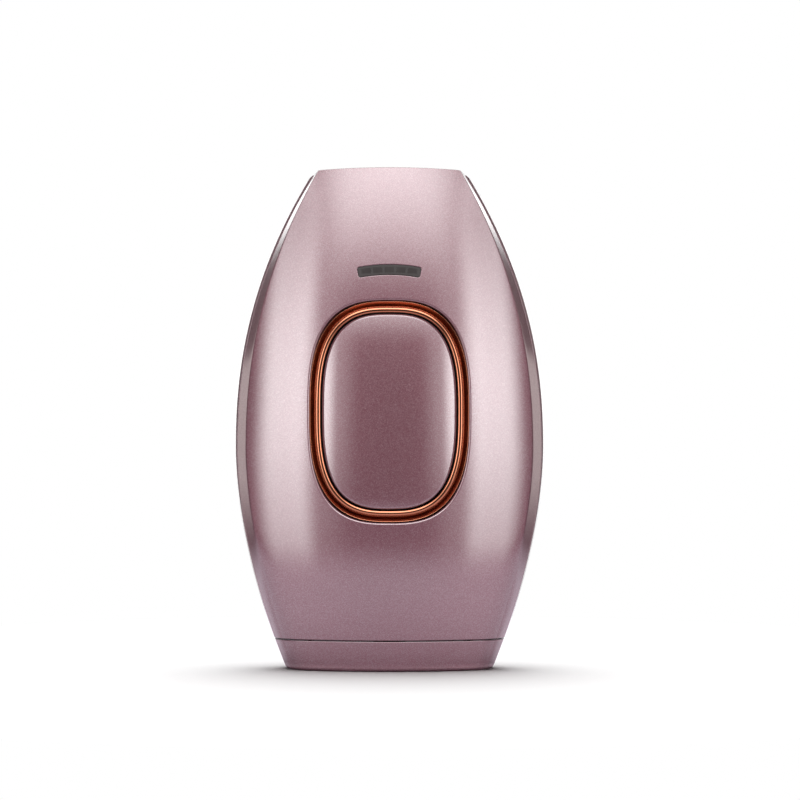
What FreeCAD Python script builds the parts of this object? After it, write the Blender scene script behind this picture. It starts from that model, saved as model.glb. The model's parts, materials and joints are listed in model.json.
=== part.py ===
import FreeCAD, Part
import math
import os
import re
import Sketcher
from FreeCAD import Placement, Rotation, Vector

# Intense-pulsed-light hair remover: a flat, shield-shaped handset that stands on its base.
# Millimetres. +Z runs up from the flat base to the treatment head, +X across the width and
# +Y from the front (button side) to the back. The origin is the middle of the flat base.

SIZES = [
    # outer form
    ("body_height", 145.0), ("body_half_width", 45.0), ("front_depth", 21.5), ("rear_depth", 22.3),
    ("wall", 2.2), ("widest_height", 64.3), ("deepest_height", 70.0),
    ("base_taper", 15.05), ("base_power", 1.8), ("head_taper", 22.9), ("head_power", 2.2),
    ("base_profile_radius", 460.0), ("head_profile_radius", 327.0), ("head_arch_radius", 300.0),
    ("crease_front_y", -10.8), ("crease_side_y", -5.5), ("side_middle_y", -1.0),
    ("crease_rear_y", 6.0), ("rear_shoulder", 3.2),
    # joints between the covers
    ("cap_height", 8.75), ("cap_seam", 0.3), ("parting_gap", 0.1), ("cap_floor", 2.5),
    # front button and its ring
    ("button_height", 74.7), ("button_half_width", 19.2), ("button_half_height", 27.9),
    ("button_proud", 0.8), ("button_wall", 1.8), ("button_skirt_y", -15.6),
    ("ring_gap", 0.4), ("ring_half_width", 22.8), ("ring_half_height", 31.7),
    ("outline_power", 2.85), ("guide_floor_y", -14.4), ("guide_floor", 1.0), ("guide_rim", 1.2),
    ("pad_radius", 2.0), ("pad_height", 2.7), ("pad_x", 11.5), ("pad_z", 17.0),
    ("stem_radius", 4.0), ("contact_gap", 0.05),
    # level indicator
    ("slot_height", 115.3), ("slot_half_width", 9.0), ("slot_width", 2.9), ("slot_radius", 47.4),
    ("led_pitch", 3.3),
    # main board
    ("board_y", -12.0), ("board_thickness", 1.6), ("board_half_width", 21.0),
    ("board_bottom", 34.5), ("board_top", 119.5), ("board_chamfer", 5.0), ("board_screw_x", 18.0),
    ("board_screw_low", 38.0), ("board_screw_high", 110.0), ("board_hole", 1.1),
    ("switch_half", 6.0), ("switch_depth", 3.3), ("plunger_radius", 3.0), ("plunger_depth", 1.3),
    ("plunger_tail", 0.8), ("plunger_room", 1.6), ("plunger_fit", 0.08),
    # flash circuit
    ("capacitor_radius", 9.8), ("capacitor_half_length", 19.0), ("capacitor_y", 0.6),
    ("capacitor_z", 70.5), ("transformer_x", -12.0), ("transformer_z", 91.5),
    ("coil_x", 12.5), ("coil_z", 90.0), ("coil_radius", 3.4), ("coil_length", 11.0),
    ("coil_flange", 1.0), ("heatsink_x", 12.5), ("heatsink_z", 103.0),
    ("transistor_thickness", 4.5), ("socket_depth", 4.6), ("socket_half_width", 3.2),
    ("socket_half_height", 1.9),
    # rear trigger
    ("trigger_height", 98.0), ("trigger_proud", 0.4), ("trigger_half_width", 7.2),
    ("trigger_half_height", 10.7), ("trigger_wall", 1.2), ("trigger_gap", 0.35),
    ("trigger_board_y", 11.3), ("trigger_board_thickness", 1.2),
    ("trigger_board_half_width", 12.0), ("trigger_board_half_height", 12.5),
    ("trigger_screw_x", 9.5), ("trigger_screw_z", 10.0), ("trigger_switch_depth", 3.3),
    ("trigger_switch_half", 3.0), ("trigger_plunger_depth", 1.0), ("trigger_plunger_radius", 1.7),
    ("trigger_stem_radius", 2.6),
    # treatment head
    ("head_frame_bottom", 138.6), ("head_frame_top", 144.0), ("head_clearance", 0.15),
    ("window_half_width", 14.0), ("window_half_depth", 5.0), ("window_y", -1.5),
    ("glass_margin", 1.5), ("contact_half_length", 8.0), ("contact_offset", 7.6),
    ("contact_half_width", 0.8), ("contact_depth", 1.0), ("contact_proud", 0.2),
    ("glass_top", 143.2), ("glass_thickness", 2.0), ("gasket_thickness", 0.8),
    ("reflector_half_length", 15.4), ("reflector_bottom", 124.2), ("reflector_sheet", 0.8),
    ("reflector_margin", 1.2), ("reflector_narrow", 4.2), ("reflector_knee", 3.0),
    ("lamp_z", 131.6), ("lamp_radius", 2.5), ("lamp_half_length", 21.4),
    ("electrode_radius", 1.5), ("electrode_length", 2.6), ("holder_inner_x", 16.4),
    ("holder_outer_x", 20.4), ("holder_half_depth", 5.6), ("bracket_half_depth", 5.9),
    ("bracket_bottom", 122.6), ("bracket_thickness", 1.6),
    # fan
    ("fan_z", 33.0), ("fan_front_y", 3.4), ("fan_depth", 8.0), ("fan_half", 15.0),
    ("fan_bore_radius", 13.4), ("fan_hub_radius", 6.0), ("fan_blade_radius", 12.8),
    ("fan_screw_offset", 12.0), ("fan_shaft_radius", 0.75), ("blade_count", 7),
    ("vent_radius", 12.0), ("vent_pitch", 3.1), ("vent_slot", 1.5),
    # power inlet
    ("inlet_half_width", 4.6), ("inlet_half_depth", 5.4), ("inlet_top", 14.4),
    ("inlet_face", 0.5), ("inlet_snout_radius", 3.8), ("barrel_radius", 2.85),
    ("barrel_depth", 9.5), ("inlet_pin_radius", 1.05), ("inlet_pin_tip", 1.5),
    ("inlet_tail_radius", 0.8), ("inlet_wall", 1.4), ("inlet_seat_top", 7.5),
    ("exhaust_start", 9.0), ("exhaust_half_length", 7.5), ("exhaust_half_width", 0.8),
    ("exhaust_rows", 4),
    # fasteners
    ("case_low_x", 27.0), ("case_low_z", 24.0), ("case_high_x", 29.0), ("case_high_z", 108.0),
    ("boss_radius", 3.2), ("case_screw_radius", 1.25), ("case_head_radius", 2.3),
    ("cap_screw_x", 23.6), ("cap_screw_y", 1.0), ("small_screw_radius", 0.9),
    ("small_head_radius", 1.8), ("small_head_depth", 1.1),
]

doc = FreeCAD.newDocument("ipl_handset")
sheet = doc.addObject("Spreadsheet::Sheet", "sizes")
for line_number, (alias, value) in enumerate(SIZES, 1):
    sheet.set(f"A{line_number}", alias)
    sheet.set(f"B{line_number}", str(value))
    sheet.setAlias(f"B{line_number}", alias)
doc.recompute()

ALIASES = {alias for alias, value in SIZES}
PIECES = []
TURN = {
    "x": Rotation(Vector(0, 1, 0), 90),
    "y": Rotation(Vector(1, 0, 0), -90),
    "z": Rotation(),
}
SIDES = (-1, 1)


# ---------------------------------------------------------------- helpers

def size(alias):
    """The value of one spreadsheet cell."""
    return float(sheet.get(alias))


def bind(item, prop, expression):
    """Drive a property by an expression in which each alias means its spreadsheet cell."""
    text = re.sub(r"[a-z][a-z_]*", lambda m: f"sizes.{m[0]}" if m[0] in ALIASES else m[0],
                  str(expression))
    item.setExpression(prop, text)


def block(name, x, y, z):
    """A box between a pair of expressions along each axis."""
    item = doc.addObject("Part::Box", name)
    for prop, axis, (low, high) in (("Length", "x", x), ("Width", "y", y), ("Height", "z", z)):
        bind(item, prop, f"({high}) - ({low})")
        bind(item, f"Placement.Base.{axis}", low)
    return item


def rod(name, axis, radius, centre, span):
    """A cylinder along axis; centre holds the two other coordinates in X, Y, Z order."""
    item = doc.addObject("Part::Cylinder", name)
    item.Placement = Placement(Vector(), TURN[axis])
    low, high = span
    others = [name for name in "xyz" if name != axis]
    bind(item, "Radius", radius)
    bind(item, "Height", f"({high}) - ({low})")
    bind(item, f"Placement.Base.{axis}", low)
    for other, value in zip(others, centre):
        bind(item, f"Placement.Base.{other}", value)
    return item


def fuse(name, *items):
    item = doc.addObject("Part::MultiFuse", name)
    item.Shapes = list(items)
    return item


def common(name, *items):
    item = doc.addObject("Part::MultiCommon", name)
    item.Shapes = list(items)
    return item


def cut(name, base, *tools):
    item = doc.addObject("Part::Cut", name)
    item.Base = base
    item.Tool = tools[0] if len(tools) == 1 else fuse(f"{name}_tools", *tools)
    return item


def group(name, *items):
    """Several separate solids that share one node."""
    item = doc.addObject("Part::Compound", name)
    item.Links = list(items)
    return item


def feature(name, shape):
    """A form that no primitive or sketch gives, from Part's own functions."""
    item = doc.addObject("Part::Feature", name)
    item.Shape = shape
    item.Placement = Placement()
    return item


def piece(label, item):
    """Register a finished sub-part under the name of its node."""
    item.Label = label
    PIECES.append(item)
    return item


def new_body(name, placement=Placement()):
    body = doc.addObject("PartDesign::Body", name)
    body.Placement = placement
    return body


def new_sketch(body, name, plane_role):
    sketch = body.newObject("Sketcher::SketchObject", name)
    plane = next(item for item in body.Origin.OriginFeatures if item.Role == plane_role)
    sketch.AttachmentSupport = [(plane, "")]
    sketch.MapMode = "FlatFace"
    return sketch


def pin_point(sketch, geometry, position, x, y):
    """Hold one sketch point at a pair of expressions measured from the sketch's origin."""
    for kind, value in (("DistanceX", x), ("DistanceY", y)):
        index = sketch.addConstraint(Sketcher.Constraint(kind, -1, 1, geometry, position, 1.0))
        bind(sketch, f"Constraints[{index}]", value)


def polygon(sketch, corners):
    """A closed outline of straight lines through corners given as expression pairs."""
    count = len(corners)
    first = sketch.GeometryCount
    for index in range(count):
        angle = 2 * math.pi * index / count
        after = 2 * math.pi * (index + 1) / count
        sketch.addGeometry(Part.LineSegment(Vector(math.cos(angle), math.sin(angle), 0),
                                            Vector(math.cos(after), math.sin(after), 0)))
    for index in range(count):
        following = first + (index + 1) % count
        sketch.addConstraint(Sketcher.Constraint("Coincident", first + index, 2, following, 1))
    for index, (x, y) in enumerate(corners):
        pin_point(sketch, first + index, 1, x, y)


def rectangle(sketch, x, y):
    """A rectangle between a pair of expressions along each sketch axis."""
    polygon(sketch, [(x[0], y[0]), (x[1], y[0]), (x[1], y[1]), (x[0], y[1])])


def circle(sketch, x, y, radius):
    index = sketch.addGeometry(Part.Circle(Vector(0, 0, 0), Vector(0, 0, 1), 1.0))
    constraint = sketch.addConstraint(Sketcher.Constraint("Radius", index, 1.0))
    bind(sketch, f"Constraints[{constraint}]", radius)
    pin_point(sketch, index, 3, x, y)


def pad(body, sketch, length, toward_back=False):
    item = body.newObject("PartDesign::Pad", f"{sketch.Name}_pad")
    item.Profile = sketch
    item.Reversed = toward_back
    bind(item, "Length", length)
    return item


def spin(body, sketch):
    """Turn a profile, drawn in the sketch's upper half, once around the sketch's X axis."""
    item = body.newObject("PartDesign::Revolution", f"{sketch.Name}_turned")
    item.Profile = sketch
    item.ReferenceAxis = (sketch, ["H_Axis"])
    item.Angle = 360.0
    return item


def copies(name, shape, placements):
    """One node of several equal solids."""
    solids = []
    for placement in placements:
        solid = shape.copy()
        solid.Placement = placement.multiply(shape.Placement)
        solids.append(solid)
    return feature(name, Part.makeCompound(solids))


# ---------------------------------------------------------------- outer form

def half_width(height):
    """Half the width of the silhouette: two power curves that meet at the widest height."""
    offset = height - size("widest_height")
    if offset < 0:
        reach, taper, power = size("widest_height"), size("base_taper"), size("base_power")
    else:
        reach = size("body_height") - size("widest_height")
        taper, power = size("head_taper"), size("head_power")
    return size("body_half_width") - taper * (abs(offset) / reach) ** power


def depth_loss(height):
    """How far front and back draw in above and below the deepest height."""
    offset = height - size("deepest_height")
    radius = size("base_profile_radius") if offset < 0 else size("head_profile_radius")
    return offset ** 2 / (2 * radius)


def section(height, inset=0.0, proud=0.0):
    """Outline of the form at one height: front crown, side facets, sides and rounded back.

    inset draws the whole outline inwards, and proud pushes only the front crown outwards."""
    width = half_width(height) - inset
    front = size("front_depth") - depth_loss(height) - inset + proud
    back = size("rear_depth") - depth_loss(height) - inset
    share = height / size("body_height")
    crease_front = width - 3.7 + 1.5 * (share - 0.455) ** 2 / 0.275
    crease_side = width - 0.2 - 1.1 * share ** 0.6
    lean = 0.6 * inset
    front_y = size("crease_front_y") + lean
    side_y = size("crease_side_y")
    rear_y = size("crease_rear_y") - lean
    shoulder = width - size("rear_shoulder")

    def at(x, y):
        return Vector(x, y, height)

    edges = [
        Part.Arc(at(-crease_front, front_y), at(0, -front), at(crease_front, front_y)).toShape(),
        Part.LineSegment(at(crease_front, front_y), at(crease_side, side_y)).toShape(),
        Part.Arc(at(crease_side, side_y), at(width, size("side_middle_y")),
                 at(shoulder, rear_y)).toShape(),
        Part.Arc(at(shoulder, rear_y), at(0, back), at(-shoulder, rear_y)).toShape(),
        Part.Arc(at(-shoulder, rear_y), at(-width, size("side_middle_y")),
                 at(-crease_side, side_y)).toShape(),
        Part.LineSegment(at(-crease_side, side_y), at(-crease_front, front_y)).toShape(),
    ]
    return Part.Wire(edges)


def form(name, inset=0.0, proud=0.0):
    """The whole outer form as one solid, lofted through sections up its height."""
    shares = (0.0, 0.06, 0.17, 0.31, 0.445, 0.58, 0.71, 0.82, 0.91, 0.96, 1.0)
    heights = [share * size("body_height") for share in shares]
    wires = [section(height, inset, proud) for height in heights]
    return feature(name, Part.makeLoft(wires, True, False))


def outline(half_x, half_z, centre_z, y):
    """Closed superellipse, the outline shared by the buttons and the ring."""
    power = size("outline_power")
    count = 40
    points = []
    for index in range(count):
        angle = 2 * math.pi * (index + 0.5) / count
        across, up = math.cos(angle), math.sin(angle)
        x = half_x * math.copysign(abs(across) ** (2 / power), across)
        z = half_z * math.copysign(abs(up) ** (2 / power), up)
        points.append(Vector(x, y, centre_z + z))
    curve = Part.BSplineCurve()
    curve.interpolate(Points=points, PeriodicFlag=True)
    return Part.Wire([curve.toShape()])


def prism(name, half_x, half_z, centre_z, start_y, end_y):
    """A superellipse drawn out along Y."""
    face = Part.Face(outline(half_x, half_z, centre_z, start_y))
    return feature(name, face.extrude(Vector(0, end_y - start_y, 0)))


def arc_slot(name, margin, start_y, end_y):
    """The bowed slot of the level indicator, grown by margin, drawn out along Y."""
    middle, half = size("slot_radius"), size("slot_width") / 2 + margin
    spread = math.asin((size("slot_half_width") + margin) / middle)
    centre = Vector(0, start_y, size("slot_height") - middle)

    def at(radius, angle):
        return centre + Vector(radius * math.sin(angle), 0, radius * math.cos(angle))

    low, high = middle - half, middle + half
    edges = [
        Part.Arc(at(high, -spread), at(high, 0), at(high, spread)).toShape(),
        Part.LineSegment(at(high, spread), at(low, spread)).toShape(),
        Part.Arc(at(low, spread), at(low, 0), at(low, -spread)).toShape(),
        Part.LineSegment(at(low, -spread), at(high, -spread)).toShape(),
    ]
    return feature(name, Part.Face(Part.Wire(edges)).extrude(Vector(0, end_y - start_y, 0)))


outer = form("outer_form")
cavity = form("cavity_form", inset=size("wall"))
arch = rod("head_arch", "y", "head_arch_radius", ("0", "body_height - head_arch_radius"),
           ("-40", "40"))
skin = cut("skin", common("arched_form", outer, arch), cavity)
cover_skin = common("cover_skin", skin, block(
    "above_cap", ("-60", "60"), ("-40", "40"), ("cap_height + cap_seam", "body_height + 5")))
FRONT_Y = ("-40", "crease_side_y - parting_gap")
REAR_Y = ("crease_side_y + parting_gap", "40")
WHOLE_Z = ("-5", "body_height + 5")
front_side = block("front_side", ("-60", "60"), FRONT_Y, WHOLE_Z)
rear_side = block("rear_side", ("-60", "60"), REAR_Y, WHOLE_Z)
CASE_SPOTS = [(side * size(f"case_{row}_x"), size(f"case_{row}_z"))
              for row in ("low", "high") for side in SIDES]


# ---------------------------------------------------------------- covers

def make_front_shell():
    """Front cover: crowned face with the button opening, the slot and inner screw bosses."""
    bosses = []
    for index, (x, z) in enumerate(CASE_SPOTS):
        bosses.append(rod(f"front_boss_{index}", "y", "boss_radius", (x, z),
                          ("-30", "crease_side_y - parting_gap")))
    for index, (x, z) in enumerate(board_spots()):
        bosses.append(rod(f"board_boss_{index}", "y", "2.2", (x, z), ("-30", "board_y")))
    inner = common("front_bosses", fuse("front_boss_rods", *bosses), cavity)
    solid = fuse("front_blank", common("front_skin", cover_skin, front_side), inner)
    holes = [rod(f"front_pilot_{index}", "y", "case_screw_radius", (x, z),
                 ("crease_side_y - 7", "crease_side_y + 1"))
             for index, (x, z) in enumerate(CASE_SPOTS)]
    holes += [rod(f"board_pilot_{index}", "y", "small_screw_radius", (x, z),
                  ("board_y - 3.6", "board_y + 1")) for index, (x, z) in enumerate(board_spots())]
    opening = prism("button_opening", size("ring_half_width") + 0.05,
                    size("ring_half_height") + 0.05, size("button_height"), -30, -13)
    slot = arc_slot("slot_opening", 0.05, -30, -12.5)
    return cut("front_cut", solid, opening, slot, *holes)


def make_rear_shell():
    """Back cover: rounded back with the vent, the trigger opening and its bosses."""
    rods = [rod(f"rear_boss_{index}", "y", "boss_radius", (x, z),
                ("crease_side_y + parting_gap", "30")) for index, (x, z) in enumerate(CASE_SPOTS)]
    for index, (x, z) in enumerate(fan_spots()):
        rods.append(rod(f"fan_boss_{index}", "y", "2.2", (x, z), ("fan_front_y + fan_depth", "30")))
    for index, (x, z) in enumerate(trigger_spots()):
        rods.append(rod(f"trigger_boss_{index}", "y", "2.0", (x, z),
                        ("trigger_board_y + trigger_board_thickness", "30")))
    boss_z = ("cap_height + cap_seam", "19.5")
    for side in SIDES:
        mark = "lr"[side > 0]
        rods.append(rod(f"cap_boss_{mark}", "z", "boss_radius",
                        (f"{side} * cap_screw_x", "cap_screw_y"), boss_z))
        span = ("cap_screw_x + 2", "50") if side > 0 else ("-50", "-cap_screw_x - 2")
        rods.append(block(f"cap_rib_{mark}", span, ("cap_screw_y - 0.8", "cap_screw_y + 0.8"),
                          boss_z))
    inner = common("rear_bosses", fuse("rear_boss_rods", *rods), cavity)
    solid = fuse("rear_blank", common("rear_skin", cover_skin, rear_side), inner)
    holes = []
    for index, (x, z) in enumerate(CASE_SPOTS):
        holes.append(rod(f"case_way_{index}", "y", "case_screw_radius + 0.2", (x, z), ("-8", "4")))
        holes.append(rod(f"case_sink_{index}", "y", "case_head_radius + 0.3", (x, z), ("3", "30")))
    for index, (x, z) in enumerate(fan_spots()):
        start = size("fan_front_y") + size("fan_depth")
        holes.append(rod(f"fan_pilot_{index}", "y", "small_screw_radius", (x, z),
                         (start - 1, start + 1.6)))
    for index, (x, z) in enumerate(trigger_spots()):
        holes.append(rod(f"trigger_pilot_{index}", "y", "small_screw_radius", (x, z),
                         ("trigger_board_y", "trigger_board_y + 4.4")))
    for side in SIDES:
        holes.append(rod(f"cap_pilot_{'lr'[side > 0]}", "z", "case_screw_radius",
                         (f"{side} * cap_screw_x", "cap_screw_y"), ("cap_height", "18")))
    holes.append(prism("trigger_opening", size("trigger_half_width") + size("trigger_gap"),
                       size("trigger_half_height") + size("trigger_gap"), size("trigger_height"),
                       14, 30))
    return cut("rear_cut", solid, vent_slots(), *holes)


def vent_slots():
    """Horizontal air slots behind the fan, whose ends lie on a circle."""
    pitch, radius = size("vent_pitch"), size("vent_radius")
    rows = int(radius // pitch)
    slots = []
    for row in range(-rows, rows + 1):
        half = math.sqrt(radius ** 2 - (row * pitch) ** 2)
        centre = f"fan_z + ({row}) * vent_pitch"
        slots.append(block(f"vent_{row + rows}", (-half, half), ("12", "30"),
                           (f"{centre} - vent_slot / 2", f"{centre} + vent_slot / 2")))
    return fuse("vent_slots", *slots)


def make_base_cap():
    """End cap: the flat base with exhaust slots, two screw wells and the inlet's seat."""
    below = block("cap_slab", ("-60", "60"), ("-40", "40"), ("0", "cap_height"))
    rim = common("cap_rim", skin, below)
    floor_slab = block("cap_floor_slab", ("-60", "60"), ("-40", "40"), ("0", "cap_floor"))
    floor = common("cap_floor_plate", outer, floor_slab)
    wells = [rod(f"cap_well_{'lr'[side > 0]}", "z", "boss_radius",
                 (f"{side} * cap_screw_x", "cap_screw_y"), ("0", "cap_height"))
             for side in SIDES]
    collar = block("inlet_collar", ("-inlet_half_width - inlet_wall", "inlet_half_width + inlet_wall"),
                   ("-inlet_half_depth - inlet_wall", "inlet_half_depth + inlet_wall"),
                   ("0", "inlet_seat_top"))
    room = block("inlet_room", ("-inlet_half_width - 0.1", "inlet_half_width + 0.1"),
                 ("-inlet_half_depth - 0.1", "inlet_half_depth + 0.1"),
                 ("cap_floor", "inlet_seat_top + 1"))
    seat = cut("inlet_seat", collar, room)
    solid = fuse("cap_blank", rim, floor, seat, *wells)
    holes = [rod("snout_hole", "z", "inlet_snout_radius + 0.1", ("0", "0"), ("-1", "cap_floor + 1"))]
    for side in SIDES:
        spot = (f"{side} * cap_screw_x", "cap_screw_y")
        mark = "lr"[side > 0]
        holes.append(rod(f"cap_way_{mark}", "z", "case_screw_radius + 0.2", spot, ("-1", "10")))
        holes.append(rod(f"cap_sink_{mark}", "z", "case_head_radius + 0.3", spot, ("-1", "5.4")))
        for row in range(int(size("exhaust_rows"))):
            x = side * (size("exhaust_start") + size("vent_pitch") * row)
            holes.append(block(f"exhaust_{mark}_{row}",
                               (f"{x} - exhaust_half_width", f"{x} + exhaust_half_width"),
                               ("-exhaust_half_length", "exhaust_half_length"),
                               ("-1", "cap_floor + 1")))
    return cut("cap_cut", solid, *holes)


# ---------------------------------------------------------------- front button

def make_button_ring():
    """Plated trim ring that follows the crown of the front cover."""
    whole = prism("ring_outside", size("ring_half_width"), size("ring_half_height"),
                  size("button_height"), -30, -13)
    inside = prism("ring_inside", size("button_half_width") + size("ring_gap"),
                   size("button_half_height") + size("ring_gap"), size("button_height"), -31, -12)
    return cut("ring_cut", common("ring_blank", skin, whole), inside)


def make_front_button():
    """Pillow-shaped key cap with a skirt, a middle stem and four pad posts."""
    proud = form("button_form", proud=size("button_proud"))
    hollow = form("button_hollow_form", inset=size("button_wall"), proud=size("button_proud"))
    rim = size("guide_rim")
    blank = prism("button_blank", size("button_half_width"), size("button_half_height"),
                  size("button_height"), -30, size("button_skirt_y"))
    room = prism("button_room", size("button_half_width") - rim, size("button_half_height") - rim,
                 size("button_height"), -29, -12)
    cap = cut("button_cup", common("button_solid", proud, blank),
              common("button_hollow", room, hollow))
    switch_top = "board_y - switch_depth - plunger_depth - contact_gap"
    stem = rod("button_stem", "y", "stem_radius", ("0", "button_height"), ("-30", switch_top))
    posts = [rod(f"pad_post_{index}", "y", "pad_radius + 0.5", (x, z),
                 ("-30", "guide_floor_y - pad_height - contact_gap"))
             for index, (x, z) in enumerate(pad_spots())]
    inner = common("button_posts", fuse("button_rods", stem, *posts), hollow)
    return fuse("button_cap", cap, inner)


def pad_spots():
    return [(x * size("pad_x"), size("button_height") + z * size("pad_z"))
            for x in SIDES for z in SIDES]


def make_front_button_guide():
    """Frame behind the opening: a rim for the skirt to run in and a floor for the pads."""
    gap, rim = size("ring_gap"), size("guide_rim")
    half_x, half_z = size("button_half_width") + gap, size("button_half_height") + gap
    height = size("button_height")
    floor_y, thickness = size("guide_floor_y"), size("guide_floor")
    rim_blank = prism("guide_rim_blank", half_x + rim, half_z + rim, height, -30, floor_y)
    rim_room = prism("guide_rim_room", half_x, half_z, height, -31, floor_y + 1)
    wall = cut("guide_wall", common("guide_wall_blank", cavity, rim_blank), rim_room)
    plate = prism("guide_plate", half_x + rim, half_z + rim, height, floor_y, floor_y + thickness)
    window = block("guide_window", ("-switch_half - 1.2", "switch_half + 1.2"), ("-20", "0"),
                   ("button_height - switch_half - 1.2", "button_height + switch_half + 1.2"))
    clear = common("guide_clear", cut("guide_floor_plate", plate, window), cavity)
    return fuse("guide_frame", wall, clear)


def make_front_button_pads():
    """Four silicone pads that push the key cap back out."""
    pads = [rod(f"pad_{index}", "y", "pad_radius", (x, z),
                ("guide_floor_y - pad_height", "guide_floor_y"))
            for index, (x, z) in enumerate(pad_spots())]
    return group("button_pads", *pads)


def make_switch(name, half, height, y, plunger_radius, room_y):
    """Square switch housing with a round well that its plunger sinks into."""
    housing = block(f"{name}_housing", (f"-{half}", half), y,
                    (f"{height} - {half}", f"{height} + {half}"))
    well = rod(f"{name}_well", "y", f"{plunger_radius} + plunger_fit", ("0", height), room_y)
    return cut(name, housing, well)


def make_front_switch():
    face = "board_y - switch_depth"
    return make_switch("tact_switch", "switch_half", "button_height", (face, "board_y"),
                       "plunger_radius", (f"{face} - 1", f"{face} + plunger_room"))


def make_front_switch_plunger():
    face = "board_y - switch_depth"
    return rod("tact_plunger", "y", "plunger_radius", ("0", "button_height"),
               (f"{face} - plunger_depth", f"{face} + plunger_tail"))


# ---------------------------------------------------------------- level indicator

def make_indicator_window():
    return common("window_lens", skin, arc_slot("window_slot", 0.0, -30, -12.5))


def led_positions():
    """Five places along the bowed slot."""
    for index in range(-2, 3):
        angle = index * size("led_pitch") / size("slot_radius")
        yield (size("slot_radius") * math.sin(angle),
               size("slot_height") - size("slot_radius") * (1 - math.cos(angle)))


def make_indicator_leds():
    leds = [block(f"led_{index}", (x - 0.8, x + 0.8), ("board_y - 0.8", "board_y"),
                  (z - 0.4, z + 0.4)) for index, (x, z) in enumerate(led_positions())]
    return group("led_row", *leds)


def make_led_divider():
    """Black block with one light well for each lamp, between the board and the slot."""
    shape = arc_slot("divider_blank", 0.8, -15.2, size("board_y"))
    wells = [block(f"well_{index}", (x - 1.25, x + 1.25), ("-20", "0"), (z - 1.1, z + 1.1))
             for index, (x, z) in enumerate(led_positions())]
    return common("divider", cut("divider_wells", shape, *wells), cavity)


# ---------------------------------------------------------------- boards

def board_spots():
    return [(side * size("board_screw_x"), size(f"board_screw_{row}"))
            for row in ("low", "high") for side in SIDES]


def trigger_spots():
    return [(x * size("trigger_screw_x"), size("trigger_height") + z * size("trigger_screw_z"))
            for x in SIDES for z in SIDES]


def fan_spots():
    offset = size("fan_screw_offset")
    return [(x * offset, size("fan_z") + z * offset) for x in SIDES for z in SIDES]


def make_main_board():
    """Circuit board behind the button, screwed to the front cover."""
    body = new_body("main_board_body")
    bind(body, "Placement.Base.y", "board_y")
    sketch = new_sketch(body, "main_board_outline", "XZ_Plane")
    polygon(sketch, [("-board_half_width", "board_bottom"), ("board_half_width", "board_bottom"),
                     ("board_half_width", "board_top - board_chamfer"),
                     ("board_half_width - board_chamfer", "board_top"),
                     ("-board_half_width + board_chamfer", "board_top"),
                     ("-board_half_width", "board_top - board_chamfer")])
    for row in ("low", "high"):
        for side in SIDES:
            circle(sketch, f"{side} * board_screw_x", f"board_screw_{row}", "board_hole")
    pad(body, sketch, "board_thickness", toward_back=True)
    return body


def make_trigger_board():
    """Small board under the back button, screwed to the rear cover."""
    body = new_body("trigger_board_body")
    bind(body, "Placement.Base.y", "trigger_board_y")
    sketch = new_sketch(body, "trigger_board_outline", "XZ_Plane")
    rectangle(sketch, ("-trigger_board_half_width", "trigger_board_half_width"),
              ("trigger_height - trigger_board_half_height",
               "trigger_height + trigger_board_half_height"))
    for x in SIDES:
        for z in SIDES:
            circle(sketch, f"{x} * trigger_screw_x", f"trigger_height + {z} * trigger_screw_z",
                   "board_hole")
    pad(body, sketch, "trigger_board_thickness", toward_back=True)
    return body


def make_control_chip():
    return block("chip", ("8", "16"), ("board_y - 1.2", "board_y"), ("92", "100"))


def make_board_connectors():
    """Plug sockets on the back of the board: power, fan and the two lamp leads."""
    back = ("board_y + board_thickness", "board_y + board_thickness + socket_depth")
    spots = [(-9.0, 36.6), (9.0, 36.6), (-13.0, 115.2), (13.0, 115.2)]
    return group("sockets", *[
        block(f"socket_{index}", (f"{x} - socket_half_width", f"{x} + socket_half_width"), back,
              (f"{z} - socket_half_height", f"{z} + socket_half_height"))
        for index, (x, z) in enumerate(spots)])


# ---------------------------------------------------------------- flash circuit

def make_flash_capacitor():
    """Can with a rolled groove near its open end, turned about its own axis."""
    body = new_body("capacitor_body")
    sketch = new_sketch(body, "capacitor_profile", "XY_Plane")
    polygon(sketch, [
        ("-capacitor_half_length", "0"), ("capacitor_half_length", "0"),
        ("capacitor_half_length", "capacitor_radius"),
        ("-capacitor_half_length + 4.4", "capacitor_radius"),
        ("-capacitor_half_length + 3.6", "capacitor_radius - 0.8"),
        ("-capacitor_half_length + 2.8", "capacitor_radius"),
        ("-capacitor_half_length", "capacitor_radius")])
    spin(body, sketch)
    bind(body, "Placement.Base.y", "capacitor_y")
    bind(body, "Placement.Base.z", "capacitor_z")
    return body


def make_capacitor_clip():
    """Strap around the can with a foot on the board."""
    span = ("-2.5", "2.5")
    centre = ("capacitor_y", "capacitor_z")
    strap = rod("strap_outside", "x", "capacitor_radius + 0.6", centre, span)
    foot = block("strap_foot", span, ("board_y + board_thickness", "capacitor_y"),
                 ("capacitor_z - 6", "capacitor_z + 6"))
    bore = rod("strap_inside", "x", "capacitor_radius + 0.05", centre, ("-4", "4"))
    return cut("strap", fuse("strap_blank", strap, foot), bore)


def transformer_span(half_x, half_z):
    return ((f"transformer_x - {half_x}", f"transformer_x + {half_x}"),
            (f"transformer_z - {half_z}", f"transformer_z + {half_z}"))


def make_transformer_core():
    """Ferrite frame with a middle leg."""
    x, z = transformer_span(8.0, 8.5)
    y = ("board_y + board_thickness + 1.2", "board_y + board_thickness + 11.2")
    block_z = transformer_span(8.0, 5.7)[1]
    windows = [block(f"core_window_{index}", (f"transformer_x + {low}", f"transformer_x + {high}"),
                     ("-20", "10"), block_z) for index, (low, high) in enumerate([(-5.8, -2.4),
                                                                                 (2.4, 5.8)])]
    return cut("core", block("core_block", x, y, z), *windows)


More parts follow.
